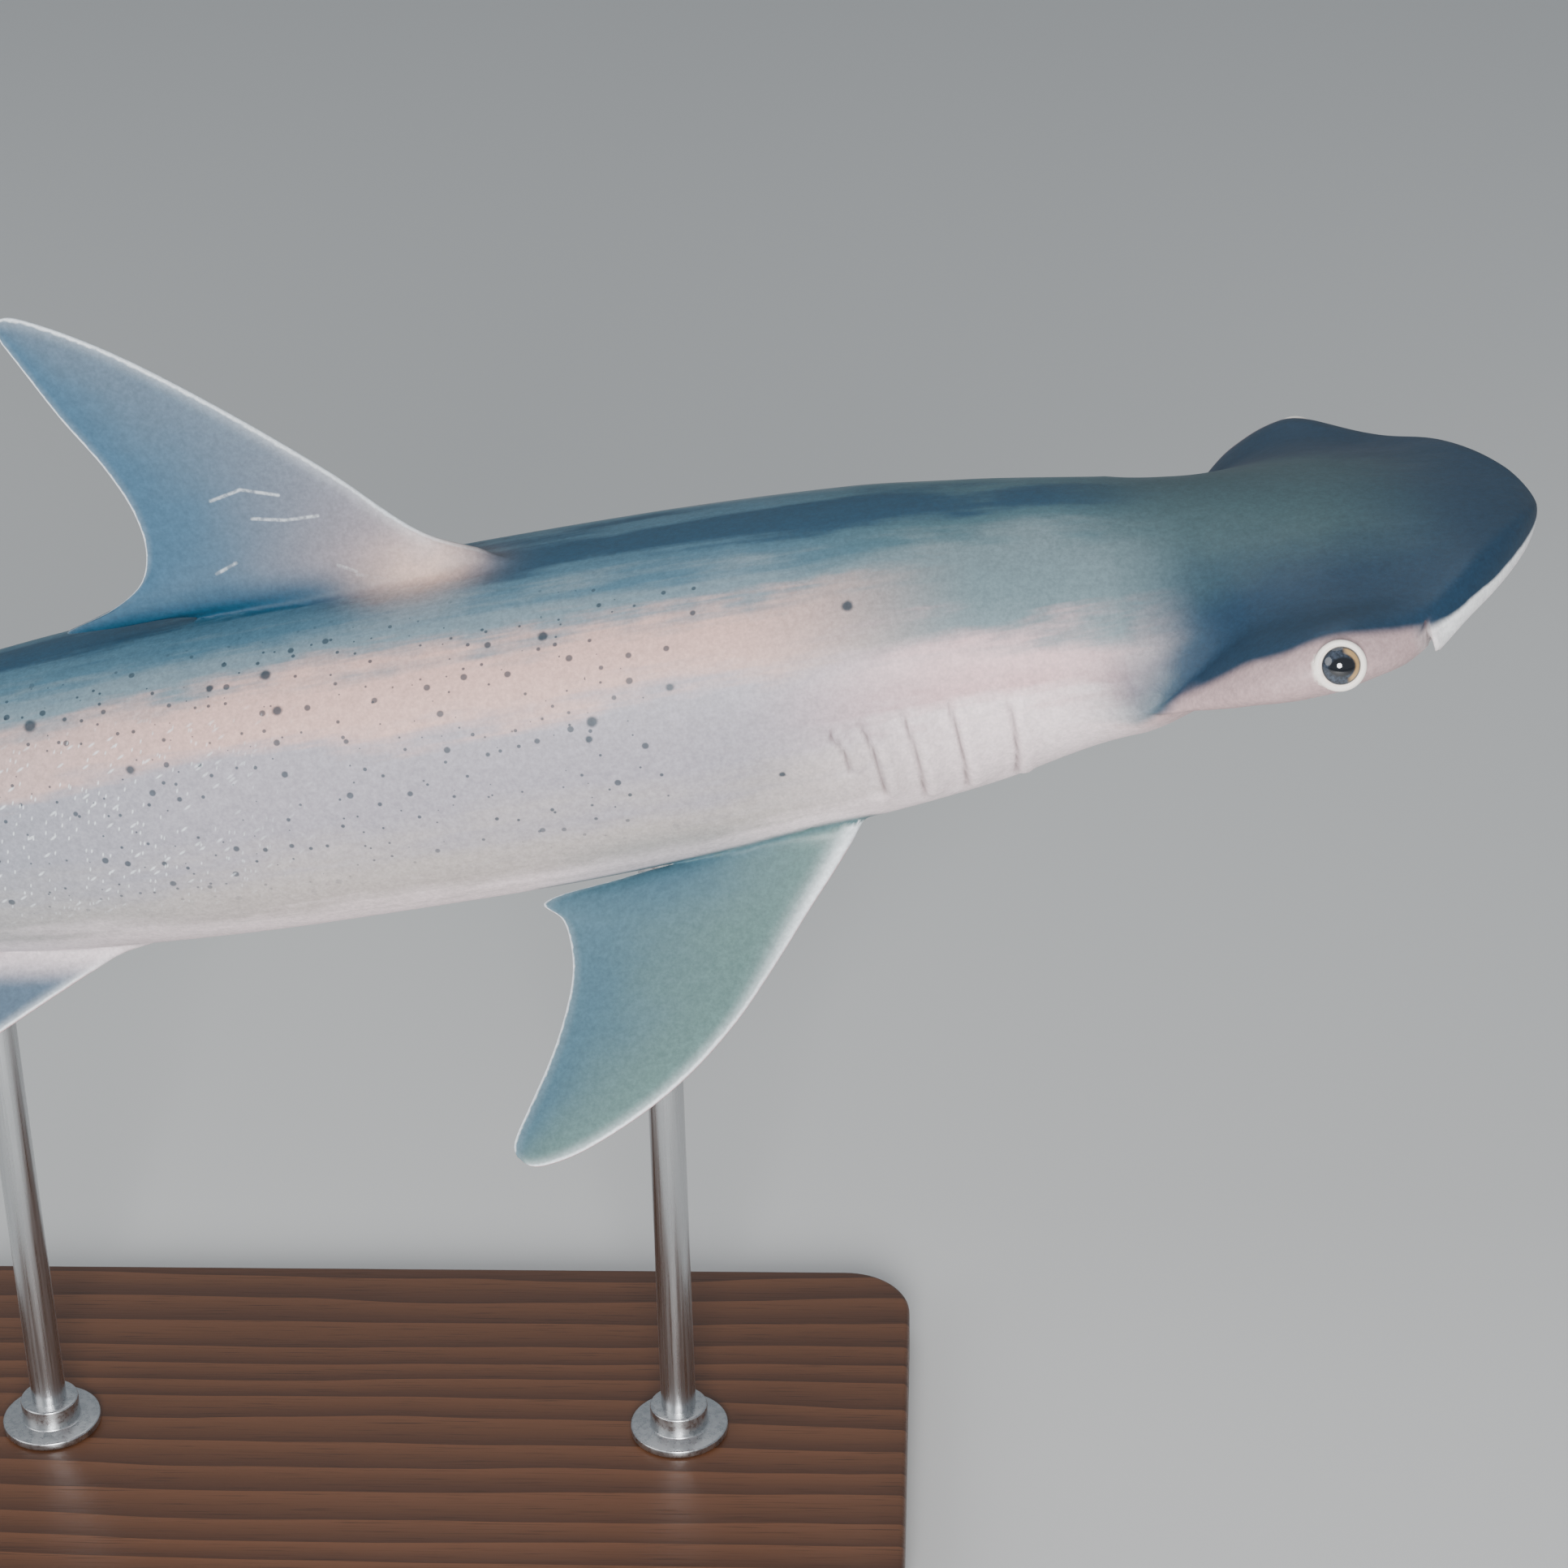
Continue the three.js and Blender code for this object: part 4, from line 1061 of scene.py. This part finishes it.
class SharkEyeSettings(PropertyGroup):
    """Size and colours of the eyes."""

    pupil_width: number_property("Pupil width", "Half width", 0.0038, unit="LENGTH")
    pupil_height: number_property("Pupil height", "Half height", 0.0027, unit="LENGTH")
    iris: colour_property("Iris", "Darker iris", seen(22, 28, 38))
    iris_light: colour_property("Iris light", "Lighter iris", seen(66, 76, 90))
    gold: colour_property("Gold", "Crescent in front", seen(196, 158, 104))
    pupil: colour_property("Pupil", "Pupil", (0.004, 0.005, 0.008))
    ring_dark: colour_property("Dark ring", "Line round the iris", seen(40, 42, 48))
    white: colour_property("White", "Outer ring", seen(255, 242, 230))


class SharkStandSettings(PropertyGroup):
    """Sizes and colours of the stand."""

    corner: number_property("Corner", "Corner radius of the base", 0.024, unit="LENGTH")
    edge: number_property("Edge", "Rounding of the base's edges", 0.002, unit="LENGTH")
    wood_dark: colour_property("Dark wood", "Late wood", seen(70, 44, 30))
    wood_light: colour_property("Light wood", "Early wood", seen(104, 68, 46))
    wood_pore: colour_property("Pores", "Pores of the wood", (0.03, 0.015, 0.01))
    steel: colour_property("Steel", "Brushed steel", (0.62, 0.63, 0.64))
    steel_dark: colour_property("Steel marks", "Brush marks", (0.45, 0.46, 0.47))


class SharkStageSettings(PropertyGroup):
    """Camera, floor and lights."""

    azimuth: number_property("Azimuth", "Camera's turn, degrees", 3.0)
    elevation: number_property("Elevation", "Camera's height, degrees", 28.2)
    roll: number_property("Roll", "Camera's roll, degrees", -1.3)
    distance: number_property("Distance", "To the point looked at", 1.2, unit="LENGTH")
    view_width: number_property("View width", "Width seen there", 0.4974, unit="LENGTH")
    look_x: number_property("Look at X", "Point looked at", 0.254, unit="LENGTH")
    look_z: number_property("Look at Z", "Point looked at", 0.273, unit="LENGTH")
    floor: colour_property("Floor", "Pale floor", (0.62, 0.62, 0.61))
    key_power: number_property("Key light", "Power in watts", 35.0)
    fill_power: number_property("Fill light", "Power in watts", 12.0)


class SHARK_OT_skin(Operator):
    """One skin over head, body and fins"""

    bl_idname = "shark.skin"
    bl_label = "Skin"

    def execute(self, context):
        settings = context.scene.shark_skin
        skin = make_body(settings)
        body_points = places(skin)
        fin_points, fin_values, fin_names = [], [], []
        for name, outline, place in all_fins():
            small = name in ("second_dorsal", "anal", "pelvic_left", "pelvic_right")
            fin, points, values = make_fin(name, outline, place, 22 if small else 30, 36 if small else 64)
            join_solids(skin, fin)
            if "pectoral" not in name:
                values[:, 2] *= 0.12 if "pelvic" not in name else 1.2
            fin_points.append(points)
            fin_values.append(values)
            fin_names += [name] * len(points)
        fin_points, fin_values = np.concatenate(fin_points), np.concatenate(fin_values)
        self.blend_roots(skin, body_points, fin_points, settings)
        for side in (1, -1):
            join_solids(skin, make_lid(side, settings))
        self.carve_details(skin)
        self.keep_values(skin, body_points, (fin_points, fin_values, fin_names), settings)
        set_places(skin, on_stand(places(skin)))
        skin.name = "skin"
        make_active(skin)
        bpy.ops.object.shade_smooth()
        skin.data.materials.clear()
        skin.data.materials.append(skin_material(settings))
        flesh = [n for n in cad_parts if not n.startswith(("stand_", "eye_"))]
        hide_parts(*flesh)
        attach(skin, "root")
        return {"FINISHED"}

    def blend_roots(self, skin, body_points, fin_points, settings):
        """Softens the line where a fin meets the body."""
        points = places(skin)
        body, fins = tree_of(body_points), tree_of(fin_points)
        before_tail = points[-points[:, 0] < TAIL_FIN_STATION]
        crossing = [p for p in before_tail if body.find(p)[2] > 1e-3 and fins.find(p)[2] > 1e-3]
        if not crossing:
            raise RuntimeError("no fin meets the body")
        seam = tree_of(crossing)
        group = skin.vertex_groups.new(name="seam")
        for i, point in enumerate(points):
            reach = seam.find(point)[2]
            if reach < settings.seam_reach:
                weight = 1 - smooth_step(reach, 0.35 * settings.seam_reach, settings.seam_reach)
                group.add([i], float(weight), "REPLACE")
        apply_modifier(skin, "SMOOTH", factor=0.5, iterations=24, vertex_group="seam")

    def carve_details(self, skin):
        """Cuts the gill slits, mouth and nostrils, and keeps where painted shade darkens them."""
        points, normals = places(skin), vertex_normals(skin)
        move, cut = carve(points, normals)
        points = points + normals * move[:, None]
        shift, notch = carve_nostrils(points)
        set_places(skin, points + shift)
        # cut marks the slits, mouth groove and nostril notches, where painted shade goes
        store(skin, "cut", np.maximum(cut, notch))

    def keep_values(self, skin, body_points, fin_parts, settings):
        """Stores what the skin's material reads."""
        points = places(skin)
        station, side, height = -points[:, 0], points[:, 1], points[:, 2]
        tone = tone_at(station, height)
        from_rim = half_width(station) - np.abs(side) - dark_top_inset(station)
        over_border = height - widest(station) - dark_top_border(station)
        wing_end = 2.6 * np.clip(np.abs(side) - 50, 0, 12)
        # a place's way along the body and round it, as flat coordinates
        wrap = np.stack((station, way_round(station, tone) + SIDES_APART * (side > 0), 0 * station), axis=1)
        kept = self.fin_marks(points, vertex_normals(skin), body_points, *fin_parts)
        # the pectoral fins' colour climbs a little onto the body, and the tail's spine has its lobe's colour
        low_down = smooth_step(-height, 26, 40) * smooth_step(share_out(station, side), 0.45, 0.7)
        climb = smooth_step(station, 230, 268) * (1 - smooth_step(station, 280, 322)) * low_down
        kept["fin"] = np.maximum.reduce((kept["fin"], 0.28 * climb, smooth_step(station, 730, 800)))
        kept.update(
            straight=points * MM,
            wrap=wrap * MM,
            tone=tone,
            rim=np.minimum(from_rim, over_border),
            head=1 - smooth_step(station - wing_end, *HEAD_COLOUR_ENDS),
            tint=bell(station, 338, 17) * bell(height, 47, 9) * bell(side, 0, 14),
            lid=self.lid_mark(points, settings),
        )
        for name, values in kept.items():
            store(skin, name, values)

    def fin_marks(self, points, normals, body_points, fin_points, fin_values, fin_names):
        """How much of a fin each place is, its distance to the blade's edge, its chord and its hues."""
        body, fins = tree_of(body_points), tree_of(fin_points)
        fin, under, warm, olive = (np.zeros(len(points)) for _ in range(4))
        values = np.tile(FAR_FROM_FINS, (len(points), 1))
        for i, point in enumerate(points):
            _, nearest, gap = fins.find(point)
            name = fin_names[nearest]
            olive[i] = name.startswith("pectoral")
            if gap > 8:
                continue
            from_body = body.find(point)[2]
            if from_body > 1.2 and gap < 4:
                fin[i] = smooth_step(from_body, *FIN_COLOUR_STARTS.get(name.split("_")[0], (1.5, 6)))
            elif name.startswith("pectoral"):
                fin[i] = 1 - smooth_step(gap, 1.5, 8)
            if from_body <= 1.2:
                continue
            values[i] = fin_values[nearest]
            if name.startswith(("pectoral", "pelvic")):
                under[i] = 0.9 * smooth_step(-normals[i][2], 0.0, 0.5) * smooth_step(from_body, 3, 10)
            if name == "first_dorsal":
                low_front = (1 - smooth_step(-point[0], 330, 405)) * math.exp(-max(point[2] - 46, 0) / 34)
                warm[i] = 0.55 * low_front
        edge, chord, pale = values.T
        return dict(fin=fin, under=under, warm=warm, olive=olive, edge=edge, chord=chord, pale=pale)

    def lid_mark(self, points, settings):
        """1 on the pale folds round the eyes."""
        mark = np.zeros(len(points))
        inner, outer = 1.02 * settings.lid_thickness, 1.5 * settings.lid_thickness
        for side in (1, -1):
            axis, offset = np.array(eye_axis(side)), points - np.array(eye_centre(side))
            along = offset @ axis
            away = np.linalg.norm(offset - np.outer(along, axis), axis=1)
            gap = np.hypot(away - settings.lid_radius, along - settings.lid_height)
            mark = np.maximum(mark, 1 - smooth_step(gap, inner, outer))
        return mark


class SHARK_OT_eyes(Operator):
    """Both eyeballs"""

    bl_idname = "shark.eyes"
    bl_label = "Eyes"

    def execute(self, context):
        settings = context.scene.shark_eye
        material = eye_material(settings)
        for word, side in (("left", 1), ("right", -1)):
            deselect()
            bpy.ops.mesh.primitive_uv_sphere_add(segments=96, ring_count=64, radius=EYE_RADIUS)
            eye = bpy.context.object
            eye.name = f"eyeball_{word}"
            axis = gaze(side)
            ahead = (Vector((1, 0, 0)) - axis * axis.x).normalized()
            up = Vector((0, 0, 1)) - axis * axis.z
            up = (up - ahead * up.dot(ahead)).normalized()
            turn = axis.to_track_quat("Z", "Y").to_matrix()
            offsets = np.array([turn @ Vector(p) for p in places(eye)])
            across = np.stack((offsets @ np.array(ahead), offsets @ np.array(up)), axis=1)
            store(eye, "across", np.c_[across, np.zeros(len(across))] * MM)
            set_places(eye, on_stand(offsets + np.array(eye_centre(side))))
            face_outwards(eye)
            bpy.ops.object.shade_smooth()
            eye.data.materials.append(material)
            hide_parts(f"eye_{word}")
            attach(eye, "root")
        return {"FINISHED"}


def add_cylinder(name, vertices, radius, low, high, middle):
    """An upright cylinder from low to high round a middle line."""
    deselect()
    bpy.ops.mesh.primitive_cylinder_add(
        vertices=vertices, radius=radius, depth=high - low, location=(middle.x, middle.y, (low + high) / 2)
    )
    bpy.ops.object.transform_apply(location=True, rotation=True, scale=True)
    obj = bpy.context.object
    obj.name = name
    return obj


def select_parts(obj, mode, parts, wanted):
    """Selects the faces or edges that are wanted and stays in edit mode."""
    make_active(obj)
    bpy.ops.object.mode_set(mode="EDIT")
    bpy.ops.mesh.select_mode(type=mode)
    bpy.ops.mesh.select_all(action="DESELECT")
    bpy.ops.object.mode_set(mode="OBJECT")
    for part in parts:
        part.select = wanted(part)
    bpy.ops.object.mode_set(mode="EDIT")


def soften_edges(obj, width, segments=3):
    """Rounds the sharp edges and shades the rest smooth."""
    sharp = math.radians(50)
    apply_modifier(obj, "BEVEL", width=width, segments=segments, limit_method="ANGLE", angle_limit=sharp)
    bpy.ops.object.shade_smooth_by_angle(angle=math.radians(40))


class SHARK_OT_stand(Operator):
    """Wooden base, steel rods and their flanges"""

    bl_idname = "shark.stand"
    bl_label = "Stand"

    def execute(self, context):
        settings = context.scene.shark_stand
        self.make_base(settings)
        rod_steel = steel_material(settings, "rod_steel", (900, 900, 14))
        flange_steel = steel_material(settings, "flange_steel", (500, 500, 500))
        for word in ("front", "rear"):
            self.make_rod(word, rod_steel)
            self.make_flange(word, flange_steel)
        return {"FINISHED"}

    def make_base(self, settings):
        """A slab with round corners and soft edges."""
        low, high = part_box("stand_base")
        deselect()
        bpy.ops.mesh.primitive_cube_add(size=1, location=(low + high) / 2, scale=high - low)
        bpy.ops.object.transform_apply(location=True, rotation=True, scale=True)
        base = bpy.context.object
        base.name = "base"

        def upright(edge):
            a, b = (base.data.vertices[i].co for i in edge.vertices)
            return abs(a.z - b.z) > 0.5 * (high.z - low.z)

        select_parts(base, "EDGE", base.data.edges, upright)
        bpy.ops.mesh.bevel(offset=settings.corner, segments=16, affect="EDGES")
        bpy.ops.object.mode_set(mode="OBJECT")
        soften_edges(base, settings.edge, 4)
        self.place(base, "stand_base", "stand_wood", wood_material(settings))

    def make_rod(self, word, steel):
        """A round rod."""
        node = f"stand_rod_{word}"
        low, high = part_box(node)
        rod = add_cylinder(f"rod_{word}", 64, (high.x - low.x) / 2, low.z, high.z, (low + high) / 2)
        soften_edges(rod, 0.0006)
        self.place(rod, node, "stand_steel", steel)

    def make_flange(self, word, steel):
        """A stepped collar: a flat rim with a raised boss round the rod."""
        node = f"stand_flange_{word}"
        low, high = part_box(node)
        radius, rim_top = (high.x - low.x) / 2, low.z + FLANGE_RIM
        flange = add_cylinder(f"flange_{word}", 96, radius, low.z, rim_top, (low + high) / 2)

        def on_top(face):
            return face.normal.z > 0.9 and face.center.z > rim_top - 1e-5

        select_parts(flange, "FACE", flange.data.polygons, on_top)
        bpy.ops.mesh.inset(thickness=radius - FLANGE_BOSS)
        bpy.ops.mesh.extrude_region_move(TRANSFORM_OT_translate={"value": (0, 0, high.z - rim_top)})
        bpy.ops.object.mode_set(mode="OBJECT")
        soften_edges(flange, 0.0007)
        self.place(flange, node, "stand_steel", steel)

    def place(self, piece, node, slot, material):
        """Gives a piece of the stand its material and its place in the frame."""
        piece.data.materials.clear()
        piece.data.materials.append(material)
        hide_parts(node)
        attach(piece, "root")


class SHARK_OT_stage(Operator):
    """Floor, lights and camera"""

    bl_idname = "shark.stage"
    bl_label = "Stage"

    def execute(self, context):
        settings = context.scene.shark_stage
        self.make_floor(settings)
        self.make_lights(context, settings)
        self.make_camera(context, settings)
        return {"FINISHED"}

    def make_floor(self, settings):
        """A wide pale floor."""
        deselect()
        bpy.ops.mesh.primitive_plane_add(size=14, location=(0, 0, 0))
        floor = bpy.context.object
        floor.name = "floor"
        paint = Paint("pale_floor")
        floor.data.materials.append(paint.finish(base_color=(*settings.floor, 1), roughness=0.9))

    def make_lights(self, context, settings):
        """Soft light from above and in front, and a soft room."""
        world = bpy.data.worlds.new("room")
        context.scene.world = world
        world.use_nodes = True
        world.node_tree.nodes["Background"].inputs["Color"].default_value = (0.84, 0.92, 1.0, 1)
        world.node_tree.nodes["Background"].inputs["Strength"].default_value = 0.4
        for name, place, size, power in (
            ("key", (0.3, -1.5, 0.75), 0.6, settings.key_power),
            ("fill", (-1.4, -0.9, 1.1), 1.4, settings.fill_power),
            ("top", (0.1, 0.6, 1.9), 1.5, 0.5 * settings.fill_power),
        ):
            deselect()
            bpy.ops.object.light_add(type="AREA", location=place)
            light = bpy.context.object
            light.name = name
            light.data.shape = "DISK"
            light.data.size = size
            light.data.energy = power
            light.rotation_euler = (Vector((0.1, 0, 0.3)) - Vector(place)).to_track_quat("-Z", "Y").to_euler()

    def make_camera(self, context, settings):
        """The photo's view."""
        azimuth, elevation = math.radians(settings.azimuth), math.radians(settings.elevation)
        level = math.cos(elevation)
        to_camera = Vector((math.sin(azimuth) * level, -math.cos(azimuth) * level, math.sin(elevation)))
        right = Vector((math.cos(azimuth), math.sin(azimuth), 0))
        up = to_camera.cross(right)
        roll = math.radians(settings.roll)
        cos, sin = math.cos(roll), math.sin(roll)
        right, up = right * cos + up * sin, up * cos - right * sin
        deselect()
        bpy.ops.object.camera_add()
        camera = bpy.context.object
        camera.name = "photo_view"
        place = Vector((settings.look_x, 0, settings.look_z)) + to_camera * settings.distance
        turn = Matrix((right, up, to_camera)).transposed().to_4x4()
        camera.matrix_world = Matrix.Translation(place) @ turn
        camera.data.sensor_width = 36
        camera.data.lens = 36 * settings.distance / settings.view_width
        context.scene.camera = camera


class SHARK_PT_panel(Panel):
    """Lists the pieces"""

    bl_label = "Shark"
    bl_idname = "SHARK_PT_panel"
    bl_space_type = "VIEW_3D"
    bl_region_type = "UI"
    bl_category = "Shark"

    def draw(self, context):
        for operator in (SHARK_OT_skin, SHARK_OT_eyes, SHARK_OT_stand, SHARK_OT_stage):
            self.layout.operator(operator.bl_idname)


SETTINGS = {
    "shark_skin": SharkSkinSettings,
    "shark_eye": SharkEyeSettings,
    "shark_stand": SharkStandSettings,
    "shark_stage": SharkStageSettings,
}
CLASSES = (*SETTINGS.values(), SHARK_OT_skin, SHARK_OT_eyes, SHARK_OT_stand, SHARK_OT_stage, SHARK_PT_panel)


def register():
    """Adds the operators, the panel and the settings."""
    for cls in CLASSES:
        bpy.utils.register_class(cls)
    for name, group in SETTINGS.items():
        setattr(bpy.types.Scene, name, PointerProperty(type=group))


def unregister():
    """Takes them away again."""
    for name in SETTINGS:
        delattr(bpy.types.Scene, name)
    for cls in reversed(CLASSES):
        bpy.utils.unregister_class(cls)


def main():
    """Builds everything."""
    register()
    bpy.ops.shark.skin()
    bpy.ops.shark.eyes()
    bpy.ops.shark.stand()
    bpy.ops.shark.stage()


if __name__ == "__main__":
    main()
